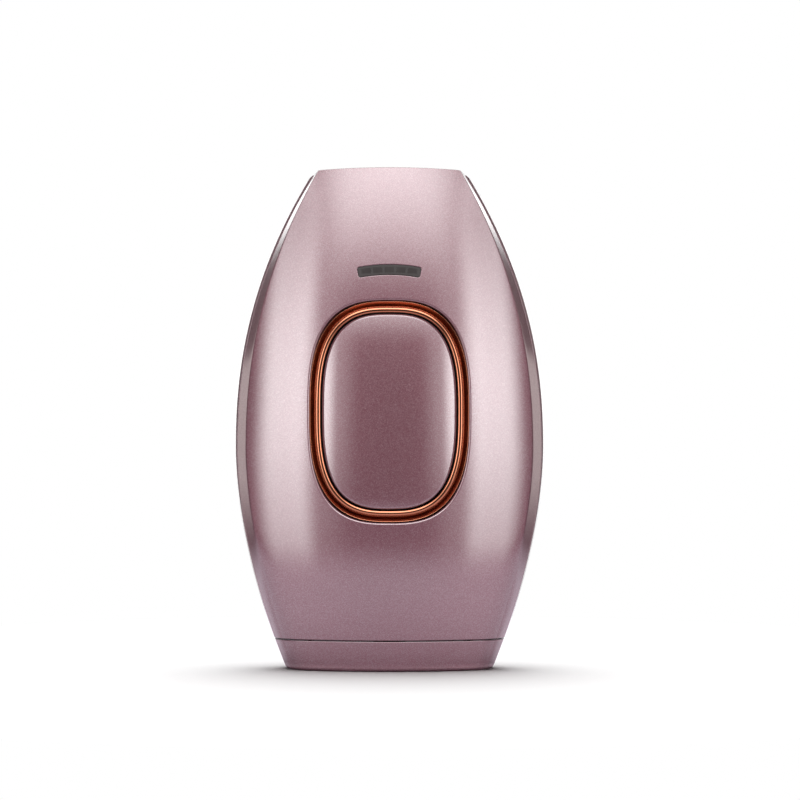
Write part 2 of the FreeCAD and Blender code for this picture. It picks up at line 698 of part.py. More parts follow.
def make_transformer_winding():
    """Bobbin and winding around the middle leg, standing on the board."""
    x, z = transformer_span(5.7, 5.6)
    y = ("board_y + board_thickness", "board_y + board_thickness + 12.6")
    leg = block("leg_room", ("transformer_x - 2.45", "transformer_x + 2.45"),
                ("board_y + board_thickness + 1.15", "board_y + board_thickness + 11.25"),
                transformer_span(8.0, 8.5)[1])
    return cut("winding", block("winding_block", x, y, z), leg)


def make_trigger_coil():
    """Small ignition coil with flanged ends, standing on the board."""
    back = "board_y + board_thickness"
    centre = ("coil_x", "coil_z")
    drum = rod("coil_drum", "y", "coil_radius", centre, (back, f"{back} + coil_length"))
    flanges = [rod(f"coil_flange_{index}", "y", "coil_radius + coil_flange", centre,
                   (f"{back} + {low}", f"{back} + {low} + coil_flange"))
               for index, low in enumerate(("0", "coil_length - coil_flange"))]
    return fuse("coil", drum, *flanges)


def make_power_switch():
    """Power transistor lying flat under its heat sink."""
    back = "board_y + board_thickness"
    return block("transistor", ("heatsink_x - 5", "heatsink_x + 5"),
                 (back, f"{back} + transistor_thickness"),
                 ("heatsink_z - 5.5", "heatsink_z + 4.5"))


def make_heatsink():
    """Finned aluminium block on the transistor, its outline padded along Z."""
    fins, fin, gap, base, reach = 5, 1.2, 2.0, 1.6, 5.0
    width = fins * fin + (fins - 1) * gap
    body = new_body("heatsink_body")
    sketch = new_sketch(body, "heatsink_outline", "XY_Plane")
    corners = [(-width / 2, 0), (width / 2, 0)]
    for index in range(fins):
        right = width / 2 - index * (fin + gap)
        corners += [(right, base + reach), (right - fin, base + reach)]
        if index < fins - 1:
            corners += [(right - fin, base), (right - fin - gap, base)]
    polygon(sketch, corners)
    pad(body, sketch, "11")
    bind(body, "Placement.Base.x", "heatsink_x")
    bind(body, "Placement.Base.y", "board_y + board_thickness + transistor_thickness")
    bind(body, "Placement.Base.z", "heatsink_z - 6")
    return body


# ---------------------------------------------------------------- rear trigger

def make_rear_button():
    """Flash trigger: a small crowned key with a skirt and a stem."""
    rear = form("trigger_form", inset=-size("trigger_proud"))
    hollow = form("trigger_hollow_form", inset=size("button_wall") - size("trigger_proud"))
    half_x, half_z = size("trigger_half_width"), size("trigger_half_height")
    height = size("trigger_height")
    blank = prism("trigger_blank", half_x, half_z, height, 17.0, 30)
    wall = size("trigger_wall")
    room = prism("trigger_room", half_x - wall, half_z - wall, height, 12, 29)
    cup = cut("trigger_cup", common("trigger_solid", rear, blank),
              common("trigger_hollow", room, hollow))
    stem = rod("trigger_stem", "y", "trigger_stem_radius", ("0", "trigger_height"),
               (f"{trigger_switch_top()} + contact_gap", "30"))
    inner = common("trigger_stem_inside", stem, hollow)
    return fuse("trigger_cap", cup, inner)


TRIGGER_BACK = "trigger_board_y + trigger_board_thickness"
TRIGGER_FACE = f"{TRIGGER_BACK} + trigger_switch_depth"


def trigger_switch_top():
    return f"{TRIGGER_FACE} + trigger_plunger_depth"


def make_rear_switch():
    return make_switch("trigger_switch", "trigger_switch_half", "trigger_height",
                       (TRIGGER_BACK, TRIGGER_FACE), "trigger_plunger_radius",
                       (f"{TRIGGER_FACE} - plunger_room", f"{TRIGGER_FACE} + 1"))


def make_rear_switch_plunger():
    return rod("trigger_plunger", "y", "trigger_plunger_radius", ("0", "trigger_height"),
               (f"{TRIGGER_FACE} - plunger_tail", trigger_switch_top()))


# ---------------------------------------------------------------- treatment head

def window_block(name, margin, z):
    """The window's opening, grown by margin on every side."""
    half_x, half_y = f"(window_half_width + {margin})", f"(window_half_depth + {margin})"
    return block(name, (f"-{half_x}", half_x),
                 (f"window_y - {half_y}", f"window_y + {half_y}"), z)


def make_head_frame():
    """Bezel that closes the top and holds the filter glass."""
    plug = form("head_plug_form", inset=size("wall") + size("head_clearance"))
    slab = block("head_slab", ("-60", "60"), ("-40", "40"), ("head_frame_bottom", "head_frame_top"))
    opening = window_block("head_opening", "0", ("head_frame_bottom - 1", "body_height + 1"))
    rebate = window_block("head_rebate", "glass_margin + 0.1", ("head_frame_bottom - 1", "glass_top"))
    strips = [contact_strip(f"contact_room_{'fb'[side > 0]}", side, 0.05) for side in SIDES]
    return cut("head", common("head_blank", plug, slab), opening, rebate, *strips)


def contact_strip(name, side, margin):
    middle = f"window_y + {side} * contact_offset"
    return block(name, (f"-contact_half_length - {margin}", f"contact_half_length + {margin}"),
                 (f"{middle} - contact_half_width - {margin}",
                  f"{middle} + contact_half_width + {margin}"),
                 ("head_frame_top - contact_depth", "head_frame_top + contact_proud"))


def make_skin_contacts():
    """Two strips that feel the skin before a flash is released."""
    return group("contacts", *[contact_strip(f"contact_{'fb'[side > 0]}", side, 0.0)
                               for side in SIDES])


def make_window_glass():
    return window_block("glass", "glass_margin", ("glass_top - glass_thickness", "glass_top"))


def make_glass_gasket():
    z = ("glass_top - glass_thickness - gasket_thickness", "glass_top - glass_thickness")
    return cut("gasket", window_block("gasket_blank", "glass_margin", z),
               window_block("gasket_hole", "0", ("130", "150")))


def make_reflector():
    """Polished trough around the lamp, open upwards: a bent sheet padded along X."""
    body = new_body("reflector_body")
    sketch = new_sketch(body, "reflector_profile", "YZ_Plane")
    top = "glass_top - glass_thickness - gasket_thickness"
    wide, narrow = "(window_half_depth + reflector_margin)", "reflector_narrow"
    knee = "lamp_z + reflector_knee"
    inner_wide, inner_narrow = f"({wide} - reflector_sheet)", f"({narrow} - reflector_sheet / 2)"
    inner_knee, floor = f"{knee} + reflector_sheet / 4", "reflector_bottom + reflector_sheet"
    outside = [(f"-{wide}", top), (f"-{wide}", knee), (f"-{narrow}", "reflector_bottom"),
               (narrow, "reflector_bottom"), (wide, knee), (wide, top)]
    inside = [(inner_wide, top), (inner_wide, inner_knee), (inner_narrow, floor),
              (f"-{inner_narrow}", floor), (f"-{inner_wide}", inner_knee), (f"-{inner_wide}", top)]
    polygon(sketch, outside + inside)
    pad(body, sketch, "2 * reflector_half_length")
    bind(body, "Placement.Base.x", "-reflector_half_length")
    bind(body, "Placement.Base.y", "window_y")
    return body


def make_flash_lamp():
    """Quartz tube across the trough."""
    return rod("lamp_tube", "x", "lamp_radius", ("window_y", "lamp_z"),
               ("-lamp_half_length", "lamp_half_length"))


def make_lamp_electrodes():
    spans = [("-lamp_half_length - electrode_length", "-lamp_half_length"),
             ("lamp_half_length", "lamp_half_length + electrode_length")]
    return group("electrodes", *[rod(f"electrode_{index}", "x", "electrode_radius",
                                      ("window_y", "lamp_z"), span)
                                 for index, span in enumerate(spans)])


def make_lamp_holders():
    """Ceramic end blocks that carry the tube."""
    holders = []
    for side in SIDES:
        x = ("holder_inner_x", "holder_outer_x") if side > 0 else ("-holder_outer_x", "-holder_inner_x")
        blank = block(f"holder_blank_{'lr'[side > 0]}", x,
                      ("window_y - holder_half_depth", "window_y + holder_half_depth"),
                      ("bracket_bottom + bracket_thickness", "head_frame_bottom"))
        bore = rod(f"holder_bore_{'lr'[side > 0]}", "x", "lamp_radius + 0.05",
                   ("window_y", "lamp_z"), x)
        holders.append(cut(f"holder_{'lr'[side > 0]}", blank, bore))
    return group("holders", *holders)


def make_lamp_bracket():
    """Shelf from wall to wall that carries the lamp group."""
    return common("bracket_shelf", cavity, block(
        "bracket", ("-50", "50"), ("window_y - bracket_half_depth", "window_y + bracket_half_depth"),
        ("bracket_bottom", "bracket_bottom + bracket_thickness")))


# ---------------------------------------------------------------- fan

def fan_y(offset):
    return f"fan_front_y + {offset}"


def make_fan_frame():
    """Square frame with a round duct, a rear motor seat and four spokes."""
    square = block("fan_square", ("-fan_half", "fan_half"), (fan_y(0), fan_y("fan_depth")),
                   ("fan_z - fan_half", "fan_z + fan_half"))
    centre = ("0", "fan_z")
    duct = rod("fan_duct", "y", "fan_bore_radius", centre, (fan_y(-1), fan_y("fan_depth + 1")))
    holes = [rod(f"fan_hole_{index}", "y", "small_screw_radius + 0.2", (x, z),
                 (fan_y(-1), fan_y("fan_depth + 1"))) for index, (x, z) in enumerate(fan_spots())]
    ring = cut("fan_ring", square, duct, *holes)
    seat = rod("fan_seat", "y", "fan_hub_radius", centre, (fan_y("fan_depth - 1.2"), fan_y("fan_depth")))
    level = (fan_y("fan_depth - 1.2"), fan_y("fan_depth"))
    spokes = [block("spoke_flat", ("-fan_bore_radius - 0.3", "fan_bore_radius + 0.3"), level,
                    ("fan_z - 0.8", "fan_z + 0.8")),
              block("spoke_tall", ("-0.8", "0.8"), level,
                    ("fan_z - fan_bore_radius - 0.3", "fan_z + fan_bore_radius + 0.3"))]
    bearing = rod("bearing_room", "y", "fan_shaft_radius + 0.05", centre,
                  (fan_y(0), fan_y("fan_depth + 1")))
    tube = rod("bearing_tube", "y", "1.9", centre, (fan_y("3.0"), fan_y("fan_depth")))
    return cut("fan_bored", fuse("fan_solid", ring, seat, tube, *spokes), bearing)


def make_fan_rotor():
    """Hub cup and one tilted blade, repeated around the axis; turned to face along Y."""
    body = new_body("rotor_body")
    hub = new_sketch(body, "hub_outline", "XY_Plane")
    circle(hub, "0", "0", "fan_hub_radius")
    pad(body, hub, "5.6")
    room = new_sketch(body, "hub_room", "XY_Plane")
    circle(room, "0", "0", "fan_hub_radius - 1.0")
    pocket = body.newObject("PartDesign::Pocket", "hub_pocket")
    pocket.Profile = room
    pocket.Reversed = True
    bind(pocket, "Length", "4.4")
    blade = new_sketch(body, "blade_outline", "YZ_Plane")
    polygon(blade, [("-2.6", "0.4"), ("-1.8", "0.4"), ("2.6", "5.0"), ("1.8", "5.0")])
    wing = pad(body, blade, "fan_blade_radius")
    doc.recompute()
    ring = body.newObject("PartDesign::PolarPattern", "blade_ring")
    ring.Originals = [wing]
    ring.Axis = (hub, ["N_Axis"])
    ring.Angle = 360.0
    bind(ring, "Occurrences", "blade_count")
    body.Tip = ring
    doc.recompute()
    keep = cut("rotor_cleared", body, rod("rotor_room", "z", "fan_hub_radius - 1.0", ("0", "0"),
                                          ("-1", "4.4")))
    shaft_hole = rod("rotor_hole", "z", "fan_shaft_radius", ("0", "0"), ("-1", "9"))
    rotor = cut("rotor", keep, shaft_hole)
    rotor.Placement = Placement(Vector(0, size("fan_front_y") + 6.2, size("fan_z")),
                                Rotation(Vector(1, 0, 0), 90))
    return rotor


def make_fan_stator():
    """Wound ring on the bearing tube, inside the hub."""
    span = (fan_y(3.4), fan_y("fan_depth - 1.2"))
    return cut("stator", rod("stator_ring", "y", "4.3", ("0", "fan_z"), span),
               rod("stator_bore", "y", "1.95", ("0", "fan_z"), span))


def make_fan_shaft():
    return rod("shaft", "y", "fan_shaft_radius", ("0", "fan_z"), (fan_y(0.8), fan_y("fan_depth - 0.3")))


# ---------------------------------------------------------------- power inlet

def make_dc_inlet():
    """Barrel socket, open downwards through the base."""
    housing = block("inlet_housing", ("-inlet_half_width", "inlet_half_width"),
                    ("-inlet_half_depth", "inlet_half_depth"), ("cap_floor", "inlet_top"))
    snout = rod("inlet_snout", "z", "inlet_snout_radius", ("0", "0"), ("inlet_face", "cap_floor"))
    barrel = rod("inlet_barrel", "z", "barrel_radius", ("0", "0"),
                 ("inlet_face - 1", "inlet_face + barrel_depth"))
    pin_way = rod("inlet_pin_way", "z", "inlet_tail_radius", ("0", "0"),
                  ("inlet_face", "inlet_top + 1"))
    return cut("inlet", fuse("inlet_blank", housing, snout), barrel, pin_way)


def make_dc_inlet_pin():
    """Centre pin of the socket; its thinner tail goes through the housing as a solder tag."""
    contact = rod("inlet_pin_contact", "z", "inlet_pin_radius", ("0", "0"),
                  ("inlet_pin_tip", "inlet_face + barrel_depth"))
    tail = rod("inlet_pin_tail", "z", "inlet_tail_radius", ("0", "0"),
               ("inlet_face + barrel_depth", "inlet_top + 1.5"))
    return fuse("inlet_pin", contact, tail)


# ---------------------------------------------------------------- leads

def lead(points, radius, bend):
    """Insulated lead: straight runs joined by tangent arcs."""
    points = [Vector(*point) for point in points]
    edges, start = [], points[0]
    for before, corner, after in zip(points, points[1:], points[2:]):
        arriving = (corner - before).normalize()
        leaving = (after - corner).normalize()
        turn = arriving.getAngle(leaving)
        reach = bend * math.tan(turn / 2)
        first, last = corner - arriving * reach, corner + leaving * reach
        bisector = (leaving - arriving).normalize()
        middle = corner + bisector * (bend / math.cos(turn / 2) - bend)
        edges.append(Part.LineSegment(start, first).toShape())
        edges.append(Part.Arc(first, middle, last).toShape())
        start = last
    edges.append(Part.LineSegment(start, points[-1]).toShape())
    path = Part.Wire(edges)
    direction = (points[1] - points[0]).normalize()
    ring = Part.Wire([Part.Circle(points[0], direction, radius).toShape()])
    return path.makePipeShell([ring], True, False)


def make_lamp_leads():
    """High-voltage leads from the board's upper sockets to the electrodes."""
    reach = size("lamp_half_length") + size("electrode_length") - 1.0
    contact_y = size("window_y") - size("electrode_radius")
    tubes = [lead([(side * 14.5, -8.3, 117.1), (side * 14.5, -8.3, 120.0),
                   (side * 20.5, -9.2, 126.0), (side * reach, -7.0, size("lamp_z")),
                   (side * reach, contact_y, size("lamp_z"))], 0.7, 1.5)
             for side in SIDES]
    return feature("lamp_lead_pair", Part.makeCompound(tubes))


def make_power_leads():
    """Pair of leads from the inlet's tags to the board's lower socket."""
    tubes = [lead([(0, offset, size("inlet_top")), (0, offset, 17.0),
                   (-9.0 + offset / 2, -8.1, 29.0), (-9.0 + offset / 2, -8.1, 34.7)], 0.7, 3.0)
             for offset in (-2.4, 2.4)]
    return feature("power_lead_pair", Part.makeCompound(tubes))


def make_fan_lead():
    tube = lead([(12.5, size("fan_front_y"), 26.0), (12.5, 0.0, 26.0), (9.0, -8.1, 30.5),
                 (9.0, -8.1, 34.7)], 0.7, 2.2)
    return feature("fan_lead_tube", tube)


# ---------------------------------------------------------------- fasteners

def screw_body(name, shank_radius, head_radius, head_depth, length):
    """Pan-head screw along +X from the top of its head, turned from its half profile."""
    body = new_body(name)
    sketch = new_sketch(body, f"{name}_profile", "XY_Plane")
    socket_depth = f"({head_depth}) * 0.5"
    polygon(sketch, [
        (socket_depth, "0"), (f"({head_depth}) + {length}", "0"),
        (f"({head_depth}) + {length} - 0.8", shank_radius), (head_depth, shank_radius),
        (head_depth, head_radius), (f"({head_depth}) * 0.35", head_radius),
        ("0", f"({head_radius}) * 0.7"), ("0", f"({head_radius}) * 0.35"),
        (socket_depth, f"({head_radius}) * 0.35")])
    spin(body, sketch)
    doc.recompute()
    return body.Shape


def placed(x, y, z, direction):
    return Placement(Vector(x, y, z), Rotation(Vector(1, 0, 0), Vector(*direction)))


def make_case_screws():
    shape = screw_body("case_screw", "case_screw_radius - 0.05", "case_head_radius", "1.5", 12.5)
    return copies("case_screw_set", shape, [placed(x, 4.5, z, (0, -1, 0)) for x, z in CASE_SPOTS])


def make_screw_plugs():
    """Push-in plugs that finish flush with the back over the case screws."""
    rods = [rod(f"plug_{index}", "y", "case_head_radius + 0.25", (x, z), ("9", "30"))
            for index, (x, z) in enumerate(CASE_SPOTS)]
    return group("plug_set", *[common(f"plug_trimmed_{index}", outer, item)
                               for index, item in enumerate(rods)])


def make_cap_screws():
    shape = screw_body("cap_screw", "case_screw_radius - 0.05", "case_head_radius", "1.5", 10.0)
    return copies("cap_screw_set", shape, [
        placed(side * size("cap_screw_x"), size("cap_screw_y"), 5.4 - 1.5, (0, 0, 1))
        for side in SIDES])


def small_screws(name, length, spots, seat_y, direction):
    shape = screw_body(name, "small_screw_radius - 0.05", "small_head_radius",
                       "small_head_depth", length)
    head_y = seat_y - direction * size("small_head_depth")
    return copies(f"{name}_set", shape, [placed(x, head_y, z, (0, direction, 0)) for x, z in spots])


def make_board_screws():
    seat = size("board_y") + size("board_thickness")
    return small_screws("board_screw", 4.6, board_spots(), seat, -1)


def make_trigger_screws():
    return small_screws("trigger_screw", 4.4, trigger_spots(), size("trigger_board_y"), 1)


def make_fan_screws():
    return small_screws("fan_screw", 9.4, fan_spots(), size("fan_front_y"), 1)


# ---------------------------------------------------------------- assembly

MAKERS = [
    ("front_shell", make_front_shell), ("rear_shell", make_rear_shell),
    ("base_cap", make_base_cap), ("button_ring", make_button_ring),
    ("front_button", make_front_button), ("front_button_guide", make_front_button_guide),
    ("front_button_pads", make_front_button_pads),
    ("front_switch", make_front_switch), ("front_switch_plunger", make_front_switch_plunger),
    ("indicator_window", make_indicator_window), ("indicator_leds", make_indicator_leds),
    ("indicator_divider", make_led_divider), ("main_board", make_main_board),
    ("control_chip", make_control_chip), ("board_connectors", make_board_connectors),
    ("board_screws", make_board_screws), ("flash_capacitor", make_flash_capacitor),
    ("capacitor_clip", make_capacitor_clip), ("transformer_core", make_transformer_core),
    ("transformer_winding", make_transformer_winding), ("trigger_coil", make_trigger_coil),
    ("power_transistor", make_power_switch), ("transistor_heatsink", make_heatsink),
    ("rear_button", make_rear_button), ("rear_switch", make_rear_switch),
    ("rear_switch_plunger", make_rear_switch_plunger), ("trigger_board", make_trigger_board),
    ("trigger_board_screws", make_trigger_screws), ("head_frame", make_head_frame),
    ("skin_contacts", make_skin_contacts), ("window_glass", make_window_glass),
    ("glass_gasket", make_glass_gasket), ("reflector", make_reflector),
    ("flash_lamp", make_flash_lamp), ("lamp_electrodes", make_lamp_electrodes),
    ("lamp_holders", make_lamp_holders), ("lamp_bracket", make_lamp_bracket),
    ("fan_frame", make_fan_frame), ("fan_stator", make_fan_stator),
    ("fan_rotor", make_fan_rotor), ("fan_shaft", make_fan_shaft),
    ("fan_screws", make_fan_screws), ("dc_inlet", make_dc_inlet),
    ("dc_inlet_pin", make_dc_inlet_pin), ("lamp_leads", make_lamp_leads),
    ("power_leads", make_power_leads), ("fan_lead", make_fan_lead),
    ("case_screws", make_case_screws), ("screw_plugs", make_screw_plugs),
    ("cap_screws", make_cap_screws),
]

for label, make in MAKERS:
    piece(label, make())
doc.recompute()

for item in doc.Objects:
    if {"Invalid", "Error"} & set(item.State):
        raise RuntimeError(f"{item.Label} did not compute: {item.State}")
for item in PIECES:
    if item.Shape.isNull() or not item.Shape.isValid() or not item.Shape.Solids:
        raise RuntimeError(f"{item.Label} has no valid solid")

os.makedirs("parts", exist_ok=True)
for item in PIECES:
    item.Shape.exportStep(f"parts/{item.Label}.step")
    box = item.Shape.optimalBoundingBox()
    print(f"{item.Label}: {len(item.Shape.Solids)} solid(s), {item.Shape.Volume:.1f} mm3, "
          f"x {box.XMin:.2f}..{box.XMax:.2f}, y {box.YMin:.2f}..{box.YMax:.2f}, "
          f"z {box.ZMin:.2f}..{box.ZMax:.2f}")
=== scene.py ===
import json
import math

import bpy
import numpy as np
from bpy.props import FloatProperty, FloatVectorProperty, PointerProperty
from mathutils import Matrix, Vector
from mathutils.geometry import delaunay_2d_cdt

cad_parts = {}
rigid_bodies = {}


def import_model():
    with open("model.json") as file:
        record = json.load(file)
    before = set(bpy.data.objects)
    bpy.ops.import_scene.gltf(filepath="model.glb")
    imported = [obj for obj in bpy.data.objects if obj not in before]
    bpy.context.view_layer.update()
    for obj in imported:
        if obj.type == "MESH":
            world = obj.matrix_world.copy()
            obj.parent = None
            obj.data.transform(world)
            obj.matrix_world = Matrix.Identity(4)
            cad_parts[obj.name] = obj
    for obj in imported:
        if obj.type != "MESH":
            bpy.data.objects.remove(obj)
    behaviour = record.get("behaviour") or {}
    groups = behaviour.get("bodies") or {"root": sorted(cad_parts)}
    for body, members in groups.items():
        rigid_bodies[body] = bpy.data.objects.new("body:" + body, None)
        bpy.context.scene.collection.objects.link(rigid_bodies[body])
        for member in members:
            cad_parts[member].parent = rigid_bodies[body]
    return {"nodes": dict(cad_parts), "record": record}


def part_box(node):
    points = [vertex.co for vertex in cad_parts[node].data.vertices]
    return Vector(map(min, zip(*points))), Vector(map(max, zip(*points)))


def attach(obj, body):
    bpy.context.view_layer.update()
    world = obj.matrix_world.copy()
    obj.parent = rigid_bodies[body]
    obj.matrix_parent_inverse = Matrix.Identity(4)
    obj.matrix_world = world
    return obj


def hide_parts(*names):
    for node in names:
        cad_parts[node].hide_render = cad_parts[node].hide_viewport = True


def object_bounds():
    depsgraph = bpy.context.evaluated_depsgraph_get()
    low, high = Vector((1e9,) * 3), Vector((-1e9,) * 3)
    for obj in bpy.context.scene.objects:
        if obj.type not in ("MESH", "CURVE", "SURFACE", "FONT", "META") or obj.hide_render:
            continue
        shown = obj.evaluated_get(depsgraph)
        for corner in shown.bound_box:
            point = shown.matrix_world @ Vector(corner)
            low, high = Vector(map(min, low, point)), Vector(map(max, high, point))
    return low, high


bl_info = {
    "name": "Light hair remover",
    "version": (1, 0, 0),
    "blender": (4, 5, 0),
    "location": "3D View > Sidebar > Hair remover",
    "description": "Builds the covers, keys, light window and finishes of a hand-held hair remover",
    "category": "Object",
}

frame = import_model()
CAD_LOW, CAD_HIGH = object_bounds()

# Metres. +Z runs up from the base to the treatment head, +X across the width and +Y from the
# front key to the back. The covers, keys and trims are smooth skins over the CAD frame.


# ---------------------------------------------------------------- outer form

HEIGHT, SIDE = CAD_HIGH.z, CAD_HIGH.x
FRONT_DEPTH, REAR_DEPTH = 0.0215, 0.0223
WIDEST, DEEPEST = 0.0643, 0.070
# how much the half width loses by the base and by the head, and the power of each curve
BASE_LOSS, BASE_POWER = 0.01505, 1.8
HEAD_LOSS, HEAD_POWER = 0.02290, 2.2
BOW_BELOW, BOW_ABOVE = 0.460, 0.327
CREASE_INSET, CREASE_BOW, CREASE_MIDDLE = 0.0037, 0.0015, 0.455
PARTING_INSET, PARTING_GAIN = 0.0002, 0.0011
CREASE_FRONT_Y, CREASE_SIDE_Y, SIDE_MIDDLE_Y, SHOULDER_Y = 0.0108, 0.0055, 0.0010, 0.0060
CREASE_SOFTNESS, LOW_SOFTNESS = 0.00014, 0.0030
SEAM_TOP, SEAM_BOTTOM, PARTING = 0.00905, 0.00875, 0.0001
ARCH_RADIUS = 0.300
# from the parting line to the crease in front of it and to the side's middle behind it
FACET_WIDTH, REAR_FLANK = 0.0060, 0.0045
# lines of points on both sides of the crease, where the cover bends sharply
CREASE_ROWS = (-0.0011, -0.0005, -0.00022, 0.0, 0.00022, 0.0005, 0.0011)

HALVINGS = 40
RIM_STEPS, RING_STEPS = 4, 240
ROW_RATIO, BATCH = 0.866, 2000

KEY_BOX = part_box("front_button")
TRIGGER_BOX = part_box("rear_button")
KEY_CENTRE = (KEY_BOX[0].z + KEY_BOX[1].z) / 2
KEY_HALF, KEY_FOOT = (0.0192, 0.0279), 0.0166
STEM_RADIUS, STEM_TOP_Y = 0.0028, -0.0170
RING_HALF, RING_SLACK = (0.0228, 0.0317), 0.00008
# heights over the cover: the ring's foot, the bead's sides, the groove beside it and the brim
RING_FOOT, BEAD_BASE, BEAD_RISE, GROOVE, BRIM = -0.0030, -0.00045, 0.00050, -0.00165, -0.00016
TRIGGER_CENTRE = (TRIGGER_BOX[0].z + TRIGGER_BOX[1].z) / 2
TRIGGER_HALF, TRIGGER_EDGE, TRIGGER_FOOT, TRIGGER_SLACK = (0.0072, 0.0107), 0.0005, 0.0170, 0.00035
OUTLINE_POWER = 2.85
LENS_HEIGHT, LENS_HALF, LENS_WIDTH, LENS_BOW, LENS_CORNER = 0.1153, 0.0090, 0.0029, 0.0474, 0.0006
LENS_SINK, LENS_GAP, LENS_THICKNESS, LENS_RIM = 0.00022, 0.00012, 0.0012, 0.00012
LEVELS, LEVEL_PITCH, LEVEL_SINK = 5, 0.0033, 0.00024
FAN_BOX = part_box("fan_frame")
FAN_HEIGHT = (FAN_BOX[0].z + FAN_BOX[1].z) / 2
VENT_RADIUS, VENT_PITCH, VENT_HALF = 0.0120, 0.0031, 0.00075
PLUG_SPOTS = [(side * x, z) for x, z in ((0.027, 0.024), (0.029, 0.108)) for side in (-1, 1)]
PLUG_WELL, PLUG_RADIUS, PLUG_SINK, PLUG_EDGE, PLUG_FOOT = 0.0026, 0.00255, 0.00005, 0.0002, 0.0095
CAP_FLOOR, CAP_SPOTS = 0.0025, [(-0.0236, 0.0010), (0.0236, 0.0010)]
WELL_TUBE, WELL_RADIUS, WELL_SHELF, WELL_BORE = 0.0032, 0.0026, 0.0055, 0.0013
INLET_HOLE, COLLAR_TOP = 0.0039, 0.0075
COLLAR_OUTER, COLLAR_INNER = (0.0060, 0.0068), (0.0047, 0.0055)
EXHAUST_X = (0.0090, 0.0121, 0.0152, 0.0183)
EXHAUST_HALF, EXHAUST_CORNER = (0.0008, 0.0075), 0.00075
OVERLAP = 0.0001
WINDOW_Y, WINDOW_HALF, WINDOW_SLACK, SEAT_WIDTH = -0.0015, (0.0140, 0.0050), 0.0003, 0.0016
CONTACT_Y, CONTACT_HALF = 0.0076, (0.0081, 0.0009)
HEAD_PLATE, HEAD_RIM, HEAD_GAP = 0.0008, 0.0003, 0.00012
# radius and depth of the head, and radius of the shank
LARGE_SCREW, SMALL_SCREW = (0.0023, 0.0015, 0.00120), (0.0018, 0.0011, 0.00085)
CASE_SEAT_Y, CASE_REACH, CAP_SEAT_Z, CAP_REACH = 0.0045, 0.0125, 0.0039, 0.0100
BOARD_REACH, TRIGGER_REACH, FAN_REACH = 0.0046, 0.0044, 0.0094


def half_width(z):
    """Half the width of the silhouette: two power curves that meet at the widest height."""
    below = BASE_LOSS * (np.clip(WIDEST - z, 0, None) / WIDEST) ** BASE_POWER
    above = HEAD_LOSS * (np.clip(z - WIDEST, 0, None) / (HEIGHT - WIDEST)) ** HEAD_POWER
    return SIDE - below - above


def depth_loss(z):
    """How far front and back draw in above and below the deepest height."""
    return (z - DEEPEST) ** 2 / (2 * np.where(z < DEEPEST, BOW_BELOW, BOW_ABOVE))


def creases(z):
    """Distance from the middle to the crease beside the front and to the parting line."""
    share = np.clip(z / HEIGHT, 0, 1)
    front = half_width(z) - CREASE_INSET + CREASE_BOW * (share - CREASE_MIDDLE) ** 2 / 0.275
    return front, half_width(z) - PARTING_INSET - PARTING_GAIN * share ** 0.6


def smooth_step(low, high, value):
    share = np.clip((value - low) / (high - low), 0, 1)
    return share * share * (3 - 2 * share)


def crown(x, z):
    """Depth of the front crown at a point, measured along -Y."""
    crease, _ = creases(z)
    rise = FRONT_DEPTH - depth_loss(z) - CREASE_FRONT_Y
    radius = (crease ** 2 + rise ** 2) / (2 * rise)
    return FRONT_DEPTH - depth_loss(z) - radius + np.sqrt(radius ** 2 - x ** 2)


class FrontSkin:
    """Front cover: u runs from crease to crease and beyond to the parting line, v is height.

    reach is u at the parting line, crease the share of it at the crease; sink lowers the skin."""
    reach, crease, outward, sink = 0.048, 0.875, 1, 0.0

    def point(self, u, v):
        share = np.abs(u) / self.reach
        crease, side = creases(v)
        over = np.clip((share - self.crease) / (1 - self.crease), 0, None)
        x = np.where(share < self.crease, crease * share / self.crease,
                     crease + (side - crease) * over)
        facet = CREASE_FRONT_Y - (x - crease) * (CREASE_FRONT_Y - CREASE_SIDE_Y) / (side - crease)
        ridge = crown(x, v)
        softness = CREASE_SOFTNESS + LOW_SOFTNESS * smooth_step(0.042, 0.016, v)
        softness = softness * np.clip(1 - over, 0, 1)
        depth = (ridge + facet - np.sqrt((ridge - facet) ** 2 + softness ** 2)) / 2
        return np.stack([x * np.sign(u), self.sink - depth, v], axis=-1)

    def place(self, x, z):
        """The u of a point on the front given by its x."""
        return x * self.crease * self.reach / creases(z)[0]


